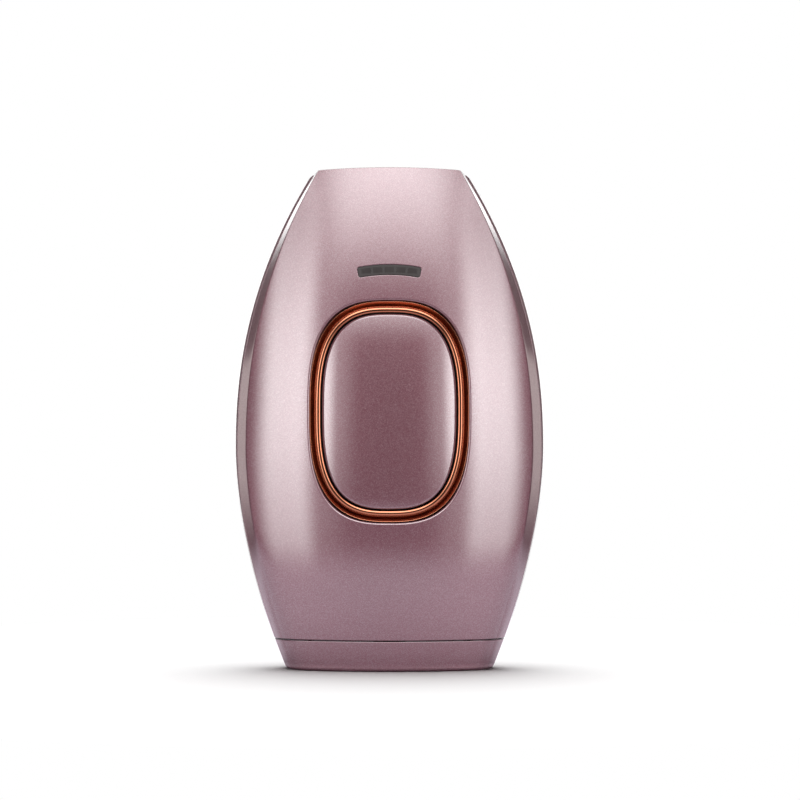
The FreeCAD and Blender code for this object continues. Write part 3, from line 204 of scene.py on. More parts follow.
class RearSkin:
    """Rear cover: u runs over the rounded back, round the side and forward to the parting line.

    side is the share of u at the side's middle, lead how far the curve starts straight back."""
    reach, side, outward = 0.060, 0.88, -1
    lead, chord_inset = 0.0090, 0.0032

    def curve(self, t, z):
        width, back = half_width(z), REAR_DEPTH - depth_loss(z)
        rise, chord = back - SHOULDER_Y, width - self.chord_inset
        radius = (chord ** 2 + rise ** 2) / (2 * rise)
        drop = back + SIDE_MIDDLE_Y
        pull = np.sqrt(radius * 2 * (drop - self.lead) / 3)
        s = 1 - t
        x = width * s ** 3 + 3 * width * s * s * t + 3 * pull * s * t * t
        y = (-SIDE_MIDDLE_Y * s ** 3 + 3 * (self.lead - SIDE_MIDDLE_Y) * s * s * t
             + 3 * back * s * t * t + back * t ** 3)
        return x, y

    def point(self, u, v):
        share = np.abs(u) / self.reach
        x, y = self.curve(1 - np.clip(share / self.side, 0, 1), v)
        width, side = half_width(v), creases(v)[1]
        inset, drop = width - side, CREASE_SIDE_Y - SIDE_MIDDLE_Y
        radius = (inset ** 2 + drop ** 2) / (2 * inset)
        turn = np.clip((share - self.side) / (1 - self.side), 0, None) * np.arcsin(drop / radius)
        beyond = share > self.side
        x = np.where(beyond, width - radius * (1 - np.cos(turn)), x)
        y = np.where(beyond, -SIDE_MIDDLE_Y - radius * np.sin(turn), y)
        return np.stack([x * np.sign(u), y, v], axis=-1)

    def place(self, x, z):
        """The u of a point on the back given by its x, found by halving."""
        x, z = np.broadcast_arrays(np.asarray(x, float), np.asarray(z, float))
        low, high = np.zeros_like(x), np.ones_like(x)
        for _ in range(HALVINGS):
            middle = (low + high) / 2
            inside = self.curve(1 - middle, z)[0] < np.abs(x)
            low, high = np.where(inside, middle, low), np.where(inside, high, middle)
        return np.sign(x) * low * self.side * self.reach

    def depth(self, x, z):
        return self.point(self.place(x, z), z)[..., 1]


class Plate:
    """A flat face at one height, seen from outside along Z."""
    def __init__(self, height, outward):
        self.height, self.outward = height, outward

    def point(self, u, v):
        return np.stack([u, v, np.full_like(u, self.height)], axis=-1)


def on_skin(skin, loop):
    """A loop given in x and z, in the skin's own u and v."""
    return np.stack([skin.place(loop[:, 0], loop[:, 1]), loop[:, 1]], axis=1)


def normals(skin, u, v):
    """Outward unit normals of a skin, from central differences."""
    step = 2e-5
    across = skin.point(u + step, v) - skin.point(u - step, v)
    up = skin.point(u, v + step) - skin.point(u, v - step)
    normal = np.cross(across, up)
    return normal / np.linalg.norm(normal, axis=-1, keepdims=True) * skin.outward


def head_edge(skin, u, corner):
    """Height of the arched upper edge along u, with its rounded corners."""
    z = np.full_like(u, HEIGHT - 0.002)
    for _ in range(30):
        x = np.abs(skin.point(u, z)[..., 0])
        gap = np.clip(half_width(z) - x, 0, corner)
        drop = corner - np.sqrt(np.clip(corner ** 2 - (corner - gap) ** 2, 0, None))
        z = 0.5 * z + 0.5 * (HEIGHT - ARCH_RADIUS + np.sqrt(ARCH_RADIUS ** 2 - x ** 2) - drop)
    return z


# ---------------------------------------------------------------- outlines

def even(points, count):
    """Points spread evenly along a closed loop."""
    points = np.vstack([points, points[:1]])
    run = np.concatenate([[0], np.cumsum(np.linalg.norm(np.diff(points, axis=0), axis=1))])
    at = np.linspace(0, run[-1], count + 1)[:count]
    return np.stack([np.interp(at, run, points[:, axis]) for axis in range(2)], axis=1)


def superellipse(half_x, half_z, centre_z, count, power=OUTLINE_POWER):
    """A key's outline, between an ellipse and a rounded box."""
    angle = np.linspace(0, 2 * math.pi, 4001)[:-1]
    across, up = np.cos(angle), np.sin(angle)
    x = half_x * np.sign(across) * np.abs(across) ** (2 / power)
    z = half_z * np.sign(up) * np.abs(up) ** (2 / power)
    return even(np.stack([x, z + centre_z], axis=1), count)


def disc(x, z, radius, count):
    angle = np.arange(count) * 2 * math.pi / count
    return np.stack([x + radius * np.cos(angle), z + radius * np.sin(angle)], axis=1)


def round_box(half_x, half_z, centre, radius, count=8):
    """Rounded rectangle, counter-clockwise, with count steps to each corner."""
    points = []
    for quarter, (sx, sz) in enumerate(((1, 1), (-1, 1), (-1, -1), (1, -1))):
        for angle in np.linspace(0, math.pi / 2, count) + quarter * math.pi / 2:
            points.append((centre[0] + sx * (half_x - radius) + radius * math.cos(angle),
                           centre[1] + sz * (half_z - radius) + radius * math.sin(angle)))
    return np.array(points)


def refine(loop, step):
    """Cut a closed loop's long edges so that none is longer than step."""
    points = []
    for start, end in zip(loop, np.roll(loop, -1, axis=0)):
        parts = max(1, int(np.ceil(np.linalg.norm(end - start) / step)))
        points += [start + (end - start) * i / parts for i in range(parts)]
    return np.array(points)


def bowed_slot(grow):
    """The level window's outline, counter-clockwise, grown by a margin."""
    half, reach = LENS_WIDTH / 2 + grow, (LENS_HALF + grow) / LENS_BOW
    flat = round_box(reach * LENS_BOW, half, (0, 0), LENS_CORNER + grow, 5)
    flat = refine(flat, 0.0006)
    angle, radius = flat[:, 0] / LENS_BOW, LENS_BOW + flat[:, 1]
    height = LENS_HEIGHT - LENS_BOW + radius * np.cos(angle)
    return np.stack([radius * np.sin(angle), height], axis=1)


def inside(points, loop):
    """Which points lie inside a closed loop."""
    x, y = points[:, 0][:, None], points[:, 1][:, None]
    ax, ay = loop[:, 0][None], loop[:, 1][None]
    bx, by = np.roll(loop[:, 0], -1)[None], np.roll(loop[:, 1], -1)[None]
    crosses = (ay > y) != (by > y)
    slope = np.where(by == ay, 1, by - ay)
    return (np.sum(crosses & (x < (bx - ax) * (y - ay) / slope + ax), axis=1) % 2) == 1


# ---------------------------------------------------------------- meshes

def shells(count, faces):
    """The connected shell that each point belongs to, as the number of one of its points."""
    label = list(range(count))

    def root(point):
        while label[point] != point:
            label[point] = label[label[point]]
            point = label[point]
        return point

    for face in faces:
        first = root(face[0])
        for other in face[1:]:
            label[root(other)] = first
    return np.array([root(point) for point in range(count)])


class Maker:
    """Points, normals and faces gathered for one piece."""
    def __init__(self):
        self.points, self.normals, self.faces = [], [], []

    def add(self, points, normals):
        first = len(self.points)
        self.points.extend(map(tuple, points))
        self.normals.extend(map(tuple, normals))
        return np.arange(first, first + len(points))

    def strip(self, lower, upper):
        """Quads between two closed rows of equal length."""
        for i in range(len(lower)):
            j = (i + 1) % len(lower)
            self.faces.append((int(lower[j]), int(lower[i]), int(upper[i]), int(upper[j])))

    def build(self, name):
        """A closed mesh object whose faces point outwards.

        Its normals are the given ones, or the mesh's own where a zero was given."""
        points = np.array(self.points)
        fans = np.array([(face[0], face[k], face[k + 1]) for face in self.faces
                         for k in range(1, len(face) - 1)])
        a, b, c = points[fans[:, 0]], points[fans[:, 1]], points[fans[:, 2]]
        shell = shells(len(points), self.faces)
        volume = np.bincount(shell[fans[:, 0]], np.sum(a * np.cross(b, c), axis=1), len(points))
        faces = [face if volume[shell[face[0]]] > 0 else tuple(reversed(face))
                 for face in self.faces]
        mesh = bpy.data.meshes.new(name)
        mesh.from_pydata([tuple(p) for p in points], [], faces)
        mesh.validate()
        mesh.polygons.foreach_set("use_smooth", np.ones(len(mesh.polygons), bool))
        mesh.update()
        given = np.array(self.normals)
        own = np.empty(len(mesh.vertices) * 3)
        mesh.vertices.foreach_get("normal", own)
        own = own.reshape(-1, 3)
        blank = np.linalg.norm(given, axis=1) < 0.5
        given[blank] = own[blank]
        mesh.normals_split_custom_set_from_vertices([tuple(n) for n in given])
        item = bpy.data.objects.new(name, mesh)
        bpy.context.scene.collection.objects.link(item)
        return item


def rim_rows(maker, points, normals_out, away, radius, depth):
    """Rows that round an edge off and run down its wall; away points out over the edge."""
    rows = []
    for angle in (math.pi / 2 * step / RIM_STEPS for step in range(1, RIM_STEPS + 1)):
        rows.append(maker.add(points + away * radius * math.sin(angle)
                              - normals_out * radius * (1 - math.cos(angle)),
                              away * math.sin(angle) + normals_out * math.cos(angle)))
    if depth > radius:
        rows.append(maker.add(points + away * radius - normals_out * depth, away))
    return rows


def triangulate(flat, edges, outer, holes):
    """Triangles over flat points that keep the given edges.

    Gives the points, the faces, which of them lie inside outer and outside the holes, and the
    new number of each point."""
    # worked out in millimetres, where the tolerances suit the sizes
    found = delaunay_2d_cdt([Vector(p) for p in flat * 1000], edges, [], 0, 1e-6)
    verts = np.array([tuple(v) for v in found[0]]) / 1000
    middles = np.array([verts[list(face)].mean(axis=0) for face in found[2]])
    keep = inside(middles, outer)
    for hole in holes:
        keep &= ~inside(middles, hole)
    new_of = {old: new for new, olds in enumerate(found[3]) for old in olds}
    return verts, found[2], keep, new_of


def solid_skin(maker, skin, outer, holes, rows, spacing, thickness, radii):
    """A skin with holes, made a closed solid: triangulated outside, rounded edges, inner face.

    outer and holes are loops in the skin's own u and v; rows are open lines to keep as edges;
    radii are the roundings of the outer loop and of each hole, or one rounding for all."""
    radii = np.broadcast_to(radii, 1 + len(holes))
    loops = [outer] + [hole[::-1] for hole in holes]
    pieces = loops + rows
    starts = np.cumsum([0] + [len(piece) for piece in pieces])
    edges = []
    for piece, start in zip(pieces, starts):
        last = len(piece) if start < starts[len(loops)] else len(piece) - 1
        edges += [(int(start + i), int(start + (i + 1) % len(piece))) for i in range(last)]
    low, high = outer.min(axis=0), outer.max(axis=0)
    grid = []
    for number, v in enumerate(np.arange(low[1], high[1], spacing * ROW_RATIO)):
        u = np.arange(low[0] + (number % 2) * spacing / 2, high[0], spacing)
        grid.append(np.stack([u, np.full_like(u, v)], axis=1))
    grid = np.vstack(grid)
    keep = inside(grid, outer)
    for hole in holes:
        keep &= ~inside(grid, hole)
    grid = grid[keep]
    fixed = np.vstack(pieces)
    clear = np.ones(len(grid), bool)
    for start in range(0, len(grid), BATCH):
        part = grid[start:start + BATCH]
        near = np.min(np.linalg.norm(part[:, None] - fixed[None], axis=2), axis=1)
        clear[start:start + BATCH] = near > spacing * 0.55
    flat = np.vstack([fixed, grid[clear]])
    verts, faces, keep, new_of = triangulate(flat, edges, outer, holes)
    points = skin.point(verts[:, 0], verts[:, 1])
    out = normals(skin, verts[:, 0], verts[:, 1])
    shell = maker.add(points, out)
    inner = maker.add(points - out * thickness, np.zeros_like(out))
    for face, kept in zip(faces, keep):
        if kept:
            maker.faces.append(tuple(int(shell[i]) for i in face))
            maker.faces.append(tuple(int(inner[i]) for i in reversed(face)))
    for loop, start, radius in zip(loops, starts, radii):
        index = np.array([new_of[int(start) + i] for i in range(len(loop))])
        at, normal = points[index], out[index]
        along = np.roll(at, -1, axis=0) - np.roll(at, 1, axis=0)
        away = np.cross(along, normal * skin.outward)
        away /= np.linalg.norm(away, axis=1, keepdims=True)
        lower = shell[index]
        for upper in rim_rows(maker, at, normal, away, float(radius), thickness):
            maker.strip(lower, upper)
            lower = upper
        maker.strip(lower, inner[index])


def cover_outline(skin, low, corner, inset, end):
    """Outer loop of a cover in u and v: bottom edge, one side up, arched top, other side down."""
    u, turn = np.linspace(-end, end, 150), end * 0.72
    top_u = np.concatenate([np.linspace(end, turn, 70)[:-1], np.linspace(turn, -turn, 60),
                            np.linspace(-turn, -end, 70)[1:]])
    top = np.stack([top_u, head_edge(skin, top_u, corner) - inset], axis=1)
    bottom = np.stack([u, np.full_like(u, low)], axis=1)
    rise = np.linspace(low, top[0, 1], 150)[1:-1]
    return np.vstack([bottom, np.stack([np.full_like(rise, end), rise], axis=1), top,
                      np.stack([np.full_like(rise, -end), rise[::-1]], axis=1)])


def pebble(maker, depth_at, half, centre, proud, edge, foot, facing, power=OUTLINE_POWER,
           count=160, rings=26):
    """A key cap: its pillow follows the cover's depth, its edge rounds into a straight skirt.

    facing is -1 for the front and +1 for the back; depth_at gives the distance from y = 0."""
    outline = superellipse(half[0], half[1], 0.0, count, power)
    shares = np.concatenate([[0.0], np.linspace(0.04, 1, rings)])

    def ring(share, shrink):
        scale = share * (1 - shrink / half[0]), share * (1 - shrink / half[1])
        return outline[:, 0] * scale[0], outline[:, 1] * scale[1] + centre

    def surface(x, z):
        radius = (np.abs(x / half[0]) ** power
                  + np.abs((z - centre) / half[1]) ** power) ** (1 / power)
        return depth_at(x, z) + proud * (1 - np.clip(radius, 0, 1) ** 3)

    def normal(x, z):
        step = 5e-5
        dx = (surface(x + step, z) - surface(x - step, z)) / (2 * step)
        dz = (surface(x, z + step) - surface(x, z - step)) / (2 * step)
        out = np.stack([-dx, np.full_like(dx, facing * 1.0), -dz], axis=1)
        return out / np.linalg.norm(out, axis=1, keepdims=True)

    rows = []
    for share in shares[1:]:
        x, z = ring(share, edge)
        rows.append(maker.add(np.stack([x, facing * surface(x, z), z], axis=1), normal(x, z)))
    x, z = np.zeros(1), np.full(1, centre)
    middle = maker.add(np.stack([x, facing * surface(x, z), z], axis=1), [(0, facing, 0)])
    first = rows[0]
    for i in range(count):
        maker.faces.append((int(middle[0]), int(first[i]), int(first[(i + 1) % count])))
    for lower, upper in zip(rows, rows[1:]):
        maker.strip(lower, upper)
    x, z = ring(1.0, edge)
    base = np.stack([x, facing * surface(x, z), z], axis=1)
    up = normal(x, z)
    along = np.roll(base, -1, axis=0) - np.roll(base, 1, axis=0)
    flat = np.stack([along[:, 2], np.zeros(count), -along[:, 0]], axis=1)
    flat /= np.linalg.norm(flat, axis=1, keepdims=True)
    lower = rows[-1]
    for angle in (math.pi / 2 * step / 6 for step in range(1, 7)):
        at = base + flat * edge * math.sin(angle)
        at[:, 1] -= facing * edge * (1 - math.cos(angle))
        upper = maker.add(at, flat * math.sin(angle) + up * math.cos(angle))
        maker.strip(lower, upper)
        lower = upper
    at = base + flat * edge
    at[:, 1] = facing * foot
    upper = maker.add(at, flat)
    maker.strip(lower, upper)
    bottom = maker.add(at, np.tile([(0, -facing, 0)], (count, 1)))
    maker.strip(upper, bottom)
    hub = maker.add([(0, facing * foot, centre)], [(0, -facing, 0)])
    for i in range(count):
        maker.faces.append((int(bottom[(i + 1) % count]), int(bottom[i]), int(hub[0])))


def wall_ring(maker, outside, inner):
    """A ring of wall along Z: rows of outer loops with their heights, and one inner loop."""
    def sideways(loop):
        along = np.roll(loop, -1, axis=0) - np.roll(loop, 1, axis=0)
        away = np.stack([along[:, 1], -along[:, 0], np.zeros(len(loop))], axis=1)
        return away / np.linalg.norm(away, axis=1, keepdims=True)

    (first, low), (last, high) = outside[0], outside[-1]
    # the inner loop starts beside the outer one's first point, so that the wall isn't twisted
    start = int(np.argmin(np.linalg.norm(inner - first[0], axis=1)))
    inner = np.roll(inner, -start, axis=0)
    up = np.tile([(0.0, 0.0, 1.0)], (len(inner), 1))
    corners = [(loop, z, sideways(loop)) for loop, z in outside]
    corners += [(last, high, up), (inner, high, up), (inner, high, -sideways(inner)),
                (inner, low, -sideways(inner)), (inner, low, -up), (first, low, -up)]
    rows = [maker.add(np.column_stack([loop, np.full(len(loop), z)]), normal)
            for loop, z, normal in corners]
    for lower, upper in zip(rows, rows[1:] + rows[:1]):
        maker.strip(lower, upper)


def sweep(maker, half, centre, profile, depth_at):
    """A trim ring: its closed profile, given as distance outwards and height over the cover."""
    outline = superellipse(half[0], half[1], 0.0, RING_STEPS)
    along = np.roll(outline, -1, axis=0) - np.roll(outline, 1, axis=0)
    away = np.stack([along[:, 1], -along[:, 0]], axis=1)
    away /= np.linalg.norm(away, axis=1, keepdims=True)
    profile = np.asarray(profile)
    slope = np.roll(profile, -1, axis=0) - np.roll(profile, 1, axis=0)
    slope /= np.linalg.norm(slope, axis=1, keepdims=True)
    rows = []
    for (distance, height), (run, rise) in zip(profile, slope):
        at = outline + away * distance
        x, z = at[:, 0], at[:, 1] + centre
        points = np.stack([x, -depth_at(x, z) - height, z], axis=1)
        # the profile runs inside edge first, so its left side is the outside of the metal
        normal = np.stack([-away[:, 0] * rise, np.full(len(at), -run), -away[:, 1] * rise], axis=1)
        rows.append(maker.add(points, normal))
    for lower, upper in zip(rows, rows[1:] + rows[:1]):
        maker.strip(lower, upper)


# ---------------------------------------------------------------- finishes

FLAKE_CELLS, WIRE_PITCH, TRACK_PITCH = 6800.0, 0.00038, 0.0016


class Value:
    """A socket in a material; Python's operators on it add Math nodes."""
    def __init__(self, finish, socket):
        self.finish, self.socket = finish, socket

    def maths(self, operation, *values):
        return self.finish.node("ShaderNodeMath", {"operation": operation}, dict(enumerate(values)))

    def __add__(self, other):
        return self.maths("ADD", self, other)

    def __sub__(self, other):
        return self.maths("SUBTRACT", self, other)

    def __rsub__(self, other):
        return self.maths("SUBTRACT", other, self)

    def __mul__(self, other):
        return self.maths("MULTIPLY", self, other)

    __radd__, __rmul__ = __add__, __mul__


class Finish:
    """One material in the making; its constants are set straight on the shader's sockets."""
    def __init__(self, name, **constants):
        self.material = bpy.data.materials.new(name)
        self.material.use_nodes = True
        self.tree = self.material.node_tree
        self.surface = self.tree.nodes["Principled BSDF"]
        for socket, value in constants.items():
            self.surface.inputs[socket.replace("_", " ")].default_value = value
        self.place = self.node("ShaderNodeTexCoord", output="Object")

    def node(self, kind, settings=None, inputs=None, output=0):
        """Any node: its settings are set first, then the values or links of its sockets."""
        node = self.tree.nodes.new(kind)
        for name, value in (settings or {}).items():
            setattr(node, name, value)
        for name, value in (inputs or {}).items():
            self.feed(node.inputs[name], value)
        return Value(self, node.outputs[output])

    def feed(self, socket, value):
        """Link a value to a socket, or set the socket to a plain number or colour."""
        if isinstance(value, Value):
            self.tree.links.new(value.socket, socket)
        else:
            socket.default_value = value

    def set(self, **sockets):
        """Feed the shader's sockets and return the finished material."""
        for name, value in sockets.items():
            self.feed(self.surface.inputs[name.replace("_", " ")], value)
        return self.material

    def noise(self, scale, detail=2.0, place=None):
        return self.node("ShaderNodeTexNoise", None,
                         {"Vector": place or self.place, "Scale": scale, "Detail": detail})

    def cells(self, scale, output="Distance", place=None):
        return self.node("ShaderNodeTexVoronoi", None,
                         {"Vector": place or self.place, "Scale": scale}, output)

    def mix(self, share, first, second):
        """Blend of two colours."""
        return self.node("ShaderNodeMix", {"data_type": "RGBA"},
                         {0: share, 6: first, 7: second}, output=2)

    def range(self, value, low, high, to_low=0.0, to_high=1.0):
        return self.node("ShaderNodeMapRange", None, {"Value": value, "From Min": low,
                         "From Max": high, "To Min": to_low, "To Max": to_high})

    def stretch(self, scale):
        return self.node("ShaderNodeMapping", None, {"Vector": self.place, "Scale": scale})

    def channel(self, colour, number):
        return self.node("ShaderNodeSeparateColor", None, {0: colour}, output=number)

    def bump(self, height, distance, strength=1.0):
        return self.node("ShaderNodeBump", None, {"Height": height, "Distance": distance,
                                                  "Strength": strength})


def shade(colour, factor):
    """A colour made darker or lighter, with full alpha."""
    return tuple(min(1.0, channel * factor) for channel in colour[:3]) + (1.0,)


def pearl_paint(name, colour, flake_glint):
    """Pearl paint: fine flakes of differing tilt and tint under a smooth clear coat, with painted
    shade on tilted flakes and painted glints on single flakes.
    """
    made = Finish(name, Metallic=0.45, Coat_Weight=1.0, Coat_Roughness=0.10, Coat_IOR=2.0,
                  IOR=1.45)
    tint = made.cells(FLAKE_CELLS, "Color")
    tilt, bright = made.channel(tint, 0), made.channel(tint, 1)
    drift = made.noise(28.0, 3.0)
    spark = made.range(bright, 0.5, 1.0)
    paint = made.mix(made.range(drift, 0.3, 0.7), shade(colour, 0.94), shade(colour, 1.06))
    # painted shade: the more a flake is tilted, the darker its colour, as if it were turned from the
    # light
    paint = made.mix(tilt * 0.5, paint, shade(colour, 0.72))
    # painted glints: the brightest single flakes take a near-white colour
    paint = made.mix(spark * flake_glint, paint, (0.98, 0.86, 0.88, 1.0))
    return made.set(Base_Color=paint, Roughness=made.range(tilt, 0.0, 1.0, 0.38, 0.50),
                    Normal=made.bump(tilt, 0.00002, 0.25))


def plated(name, colour):
    """Bright tinted plating with faint polishing lines."""
    made = Finish(name, Metallic=1.0)
    lines = made.noise(1400.0, 2.0)
    film = made.noise(90.0, 3.0)
    tint = made.mix(made.range(film, 0.35, 0.65), shade(colour, 0.92), shade(colour, 1.08))
    return made.set(Base_Color=tint, Roughness=made.range(film, 0.3, 0.7, 0.15, 0.20),
                    Normal=made.bump(lines, 0.000002, 0.2))


def moulded(name, colour, grain=1800.0, rough=0.5):
    """Moulded plastic with a fine spark-eroded grain."""
    made = Finish(name, IOR=1.48)
    pits = made.cells(grain)
    drift = made.noise(60.0, 3.0)
    tint = made.mix(made.range(drift, 0.35, 0.65), shade(colour, 0.88), shade(colour, 1.12))
    return made.set(Base_Color=tint,
                    Roughness=made.range(drift, 0.3, 0.7, rough - 0.06, rough + 0.06),
                    Normal=made.bump(pits, 0.00002, 0.5))


def smoked(name, colour):
    """Smoked lens plastic, glossy with faint depth."""
    made = Finish(name, IOR=1.33)
    cloud = made.noise(260.0, 2.0)
    tint = made.mix(cloud, shade(colour, 0.8), shade(colour, 1.25))
    return made.set(Base_Color=tint, Roughness=made.range(cloud, 0.3, 0.7, 0.30, 0.40),
                    Normal=made.bump(cloud, 0.00001, 0.2))


def rubber(name, colour):
    """Silicone: soft, dusty and slightly uneven."""
    made = Finish(name, IOR=1.41, Sheen_Weight=0.15)
    dust = made.noise(700.0, 4.0)
    tint = made.mix(dust, shade(colour, 0.9), shade(colour, 1.1))
    return made.set(Base_Color=tint, Roughness=made.range(dust, 0.3, 0.7, 0.6, 0.75),
                    Normal=made.bump(dust, 0.00002, 0.4))


def metal(name, colour, stretch=(1.0, 1.0, 1.0), rough=0.25, grain=900.0):
    """Bare metal, brushed when one axis is stretched."""
    made = Finish(name, Metallic=1.0)
    hair = made.noise(grain, 3.0, made.stretch(stretch))
    stain = made.noise(70.0, 3.0)
    tint = made.mix(made.range(stain, 0.35, 0.65), shade(colour, 0.88), shade(colour, 1.06))
    return made.set(Base_Color=tint,
                    Roughness=made.range(hair, 0.3, 0.7, rough - 0.08, rough + 0.1),
                    Normal=made.bump(hair, 0.00001, 0.25))


def board_laminate(name, colour):
    """Solder mask over copper tracks."""
    made = Finish(name, Coat_Weight=0.4, Coat_Roughness=0.15, IOR=1.5)
    bent = made.node("ShaderNodeVectorMath", {"operation": "SNAP"},
                     {0: made.place, 1: (TRACK_PITCH,) * 3})
    lane = made.cells(300.0, "Color", bent)
    chosen = made.channel(lane, 0)
    tint = made.mix(made.range(chosen, 0.45, 0.55), shade(colour, 0.8), shade(colour, 1.35))
    weave = made.noise(2200.0, 2.0)
    return made.set(Base_Color=tint, Roughness=made.range(weave, 0.3, 0.7, 0.3, 0.42),
                    Normal=made.bump(chosen, 0.00003, 0.4))


def wound_wire(name, colour):
    """Close turns of enamelled wire around the Y axis, with painted shade in the grooves between
    them.
    """
    made = Finish(name, Metallic=0.85, Coat_Weight=0.5, Coat_Roughness=0.12)
    along = made.node("ShaderNodeSeparateXYZ", None, {0: made.place}, "Y")
    turns = along.maths("SINE", along * (2 * math.pi / WIRE_PITCH)) * 0.5 + 0.5
    # painted shade: the colour darkens to 0.35 of itself in the grooves between turns
    tint = made.mix(turns, shade(colour, 0.35), shade(colour, 1.0))
    return made.set(Base_Color=tint, Roughness=made.range(turns, 0.0, 1.0, 0.5, 0.25),
                    Normal=made.bump(turns, 0.00006, 0.8))


def clear_part(name, colour, cover):
    """Tinted glass or quartz: glossy, with faint haze, and open to what lies behind it."""
    made = Finish(name, IOR=1.48, Coat_Weight=0.8, Coat_Roughness=0.03)
    haze = made.noise(120.0, 3.0)
    tint = made.mix(haze, shade(colour, 0.85), shade(colour, 1.1))
    return made.set(Base_Color=tint, Roughness=made.range(haze, 0.3, 0.7, 0.04, 0.10),
                    Alpha=made.range(haze, 0.3, 0.7, cover - 0.04, cover + 0.04),
                    Normal=made.bump(haze, 0.000003, 0.2))


def lead_cover(name, colour):
    """Soft insulated lead with a slight gloss."""
    made = Finish(name, IOR=1.5)
    grain = made.noise(1100.0, 3.0)
    tint = made.mix(grain, shade(colour, 0.85), shade(colour, 1.1))
    return made.set(Base_Color=tint, Roughness=made.range(grain, 0.3, 0.7, 0.35, 0.5),
                    Normal=made.bump(grain, 0.00001, 0.3))


# ---------------------------------------------------------------- settings

class CoverSettings(bpy.types.PropertyGroup):
    """Sizes of the covers."""
    wall: FloatProperty(name="Wall", description="Thickness of the covers", default=0.0020,
                        min=0.001, max=0.003, unit="LENGTH")
    rim: FloatProperty(name="Rim rounding", description="Rounding at openings and seams",
                       default=0.00022, min=0.00005, max=0.001, unit="LENGTH")
    lip: FloatProperty(name="Ring lip", description="Rounding of the cover around the ring",
                       default=0.00065, min=0.0001, max=0.001, unit="LENGTH")
    corner: FloatProperty(name="Head corner", description="Rounding of the upper corners",
                          default=0.0032, min=0.0005, max=0.006, unit="LENGTH")
    foot: FloatProperty(name="Foot rounding", description="Rounding around the base",
                        default=0.0011, min=0.0003, max=0.003, unit="LENGTH")
    spacing: FloatProperty(name="Mesh spacing", description="Distance between surface points",
                           default=0.0013, min=0.0006, max=0.004, unit="LENGTH")


class KeySettings(bpy.types.PropertyGroup):
    """Sizes of the two keys and the ring."""
    pillow: FloatProperty(name="Pillow", description="How far the front key stands over the cover",
                          default=0.0008, min=0.0, max=0.0008, unit="LENGTH")
    edge: FloatProperty(name="Key edge", description="Rounding of the front key's edge",
                        default=0.0007, min=0.0002, max=0.0015, unit="LENGTH")
    trigger_pillow: FloatProperty(name="Trigger pillow", description="Crown of the back key",
                                  default=0.0004, min=0.0, max=0.0004, unit="LENGTH")
    bead: FloatProperty(name="Ring bead", description="Width of the ring's raised bead",
                        default=0.0015, min=0.0006, max=0.002, unit="LENGTH")


class FinishSettings(bpy.types.PropertyGroup):
    """Colours of the outside."""
    pearl: FloatVectorProperty(name="Pearl", description="Paint of the covers", subtype="COLOR",
                               size=3, default=(0.150, 0.052, 0.070), min=0.0, max=1.0)
    key: FloatVectorProperty(name="Key pearl", description="Paint of the keys", subtype="COLOR",
                             size=3, default=(0.145, 0.049, 0.065), min=0.0, max=1.0)
    ring: FloatVectorProperty(name="Ring plating", description="Tint of the ring", subtype="COLOR",
                              size=3, default=(0.44, 0.165, 0.095), min=0.0, max=1.0)
    # painted glints: how strongly single flakes take a near-white colour
    flake_glint: FloatProperty(name="Sparkle", description="Strength of single bright flakes",
                         default=0.09, min=0.0, max=1.0, subtype="FACTOR")


class StageSettings(bpy.types.PropertyGroup):
    """Camera and lights."""
    distance: FloatProperty(name="Camera distance", description="From the object's middle plane",
                            default=0.9, min=0.3, max=3.0, unit="LENGTH")
    focal: FloatProperty(name="Focal length", description="Lens of the camera in millimetres",
                         default=138.8, min=20.0, max=300.0, unit="CAMERA")
    eye: FloatVectorProperty(name="Camera place", description="Sideways place and height",
                             size=2, default=(0.00306, 0.078), subtype="XYZ", unit="LENGTH")
    key_power: FloatProperty(name="Side light", description="Power of each front side light",
                             default=9.35, min=0.0, max=200.0, unit="POWER")
    fill_power: FloatProperty(name="Fill light", description="Power of each soft front fill",
                              default=1.8, min=0.0, max=200.0, unit="POWER")
    top_power: FloatProperty(name="Top light", description="Power of the upper front light",
                             default=29.0, min=0.0, max=200.0, unit="POWER")
    edge_power: FloatProperty(name="Edge light", description="Power of each light at the sides",
                              default=0.56, min=0.0, max=200.0, unit="POWER")
    rear_power: FloatProperty(name="Rear side light", description="Power of each rear side light",
                              default=5.0, min=0.0, max=200.0, unit="POWER")
    back_power: FloatProperty(name="Back light", description="Power of the light behind",
                              default=11.0, min=0.0, max=200.0, unit="POWER")
    surroundings: FloatProperty(name="Surroundings",
                                description="Brightness that the object reflects",
                                default=0.08, min=0.0, max=1.0, subtype="FACTOR")


FINISHES = {}


